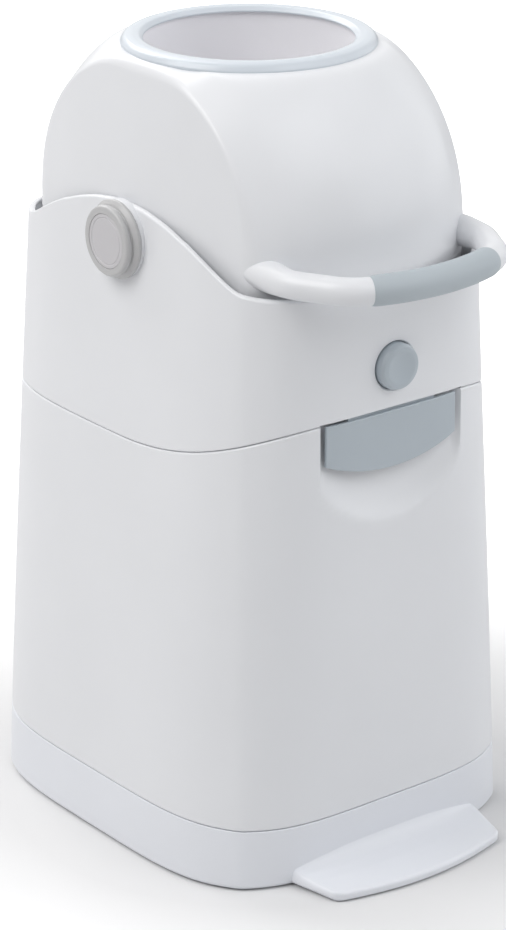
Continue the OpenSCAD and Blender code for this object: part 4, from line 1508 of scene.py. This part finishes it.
def worked_out(tree: bpy.types.NodeTree, operation: str, first: bpy.types.NodeSocket,
               second: bpy.types.NodeSocket) -> bpy.types.NodeSocket:
    """Join two values by a math node.

    Args:
        tree: The node tree.
        operation: The node's operation.
        first: Its first value.
        second: Its second value.

    Returns:
        The result's socket.
    """
    node = tree.nodes.new("ShaderNodeMath")
    node.operation = operation
    tree.links.new(first, node.inputs[0])
    tree.links.new(second, node.inputs[1])
    return node.outputs["Value"]


@dataclass
class Studio:
    """White floor, soft light and the camera at the photograph's place.

    Attributes:
        azimuth: Camera's angle from -Y, to the right.
        elevation: Camera's angle above the floor.
        distance: Camera's distance from the target.
        lens: Focal length in millimetres, for a sensor of the width below.
        sensor: Width of the sensor in millimetres.
        shift: Shift of the picture, in shares of its longer side.
        target: What the camera and the lamps face.
        floor_reach: Half the floor's width.
        floor_white: The floor's colour, which carries the shadow.
        glow: Distances from the middle at which the floor starts to turn to plain white for the
            camera, and at which it is white.
        surround: Strength of the surroundings as light.
    """

    azimuth: float = math.radians(-38.145)
    elevation: float = math.radians(20.634)
    distance: float = 2.6856
    lens: float = 132.0
    sensor: float = 36.0
    shift: Point2 = (0.00418, -0.0486)
    target: Vector = field(default_factory=lambda: Vector((0, joint_place("drum_flip").y, 0.310)))
    floor_reach: float = 30.0
    floor_white: Colour = (0.78, 0.78, 0.785)
    glow: Point2 = (0.21, 0.8)
    surround: float = 0.2

    def back(self) -> Vector:
        """Direction from the target to the camera."""
        a, e = self.azimuth, self.elevation
        return Vector((math.sin(a) * math.cos(e), -math.cos(a) * math.cos(e), math.sin(e)))

    def build(self) -> None:
        """Set up the camera, floor, lamps and world."""
        self.camera()
        self.floor()
        for lamp in LAMPS:
            lamp.build(self.target)
        self.world()
        bpy.context.scene.view_settings.view_transform = "Standard"

    def camera(self) -> None:
        """Place the camera."""
        data = bpy.data.cameras.new("Camera")
        data.lens = self.lens
        data.sensor_width = self.sensor
        data.shift_x, data.shift_y = self.shift
        data.clip_end = 50
        camera = bpy.data.objects.new("Camera", data)
        back = self.back()
        right = Vector((math.cos(self.azimuth), math.sin(self.azimuth), 0))
        turn = Matrix((right, back.cross(right), back)).transposed().to_4x4()
        camera.matrix_world = Matrix.Translation(self.target + back * self.distance) @ turn
        bpy.context.scene.collection.objects.link(camera)
        bpy.context.scene.camera = camera

    def floor(self) -> None:
        """White floor that keeps the object's shadow and shows white to the camera."""
        reach = self.floor_reach
        shape = Shape().grid([[Vector((x, y, 0)) for x in (-reach, reach)]
                              for y in (-reach, reach)], wrap_points=False)
        floor = Piece("Floor", shape).object
        material = bpy.data.materials.new("Floor white")
        material.use_nodes = True
        tree = material.node_tree
        nodes, links = tree.nodes, tree.links
        nodes.remove(nodes["Principled BSDF"])
        matt = nodes.new("ShaderNodeBsdfDiffuse")
        matt.inputs["Color"].default_value = (*self.floor_white, 1)
        away = nodes.new("ShaderNodeVectorMath")
        away.operation = "LENGTH"
        links.new(nodes.new("ShaderNodeTexCoord").outputs["Object"], away.inputs[0])
        fade = nodes.new("ShaderNodeMapRange")
        fade.inputs["From Min"].default_value, fade.inputs["From Max"].default_value = self.glow
        links.new(away.outputs["Value"], fade.inputs["Value"])
        rays = nodes.new("ShaderNodeLightPath").outputs
        glow = nodes.new("ShaderNodeEmission")
        strength = worked_out(tree, "MULTIPLY", rays["Is Camera Ray"], fade.outputs["Result"])
        links.new(strength, glow.inputs["Strength"])
        both = nodes.new("ShaderNodeAddShader")
        links.new(matt.outputs["BSDF"], both.inputs[0])
        links.new(glow.outputs["Emission"], both.inputs[1])
        links.new(both.outputs["Shader"], nodes["Material Output"].inputs["Surface"])
        floor.data.materials.append(material)

    def world(self) -> None:
        """Even pale surroundings, white where the camera, gloss or glass sees them."""
        world = bpy.data.worlds.new("Studio")
        world.use_nodes = True
        tree = world.node_tree
        rays = tree.nodes.new("ShaderNodeLightPath").outputs
        seen = worked_out(tree, "MAXIMUM", rays["Is Camera Ray"], rays["Is Glossy Ray"])
        seen = worked_out(tree, "MAXIMUM", seen, rays["Is Transmission Ray"])
        amount = tree.nodes.new("ShaderNodeMapRange")
        amount.inputs["To Min"].default_value = self.surround
        tree.links.new(seen, amount.inputs["Value"])
        background = tree.nodes["Background"]
        background.inputs["Color"].default_value = (1, 1, 1, 1)
        tree.links.new(amount.outputs["Result"], background.inputs["Strength"])
        bpy.context.scene.world = world


def main() -> None:
    """Build the bin's sub-assemblies in order."""
    logging.basicConfig(level=logging.INFO, format="%(message)s")
    housing = Housing()
    for part in (Studio(), Hardware(), Base(housing), Body(housing), Hood(housing),
                 LiftLip(housing), Button(housing), ReleaseSprings(), Drum(housing),
                 RimRing(housing), Knobs(housing)):
        part.build()


if __name__ == "__main__":
    main()
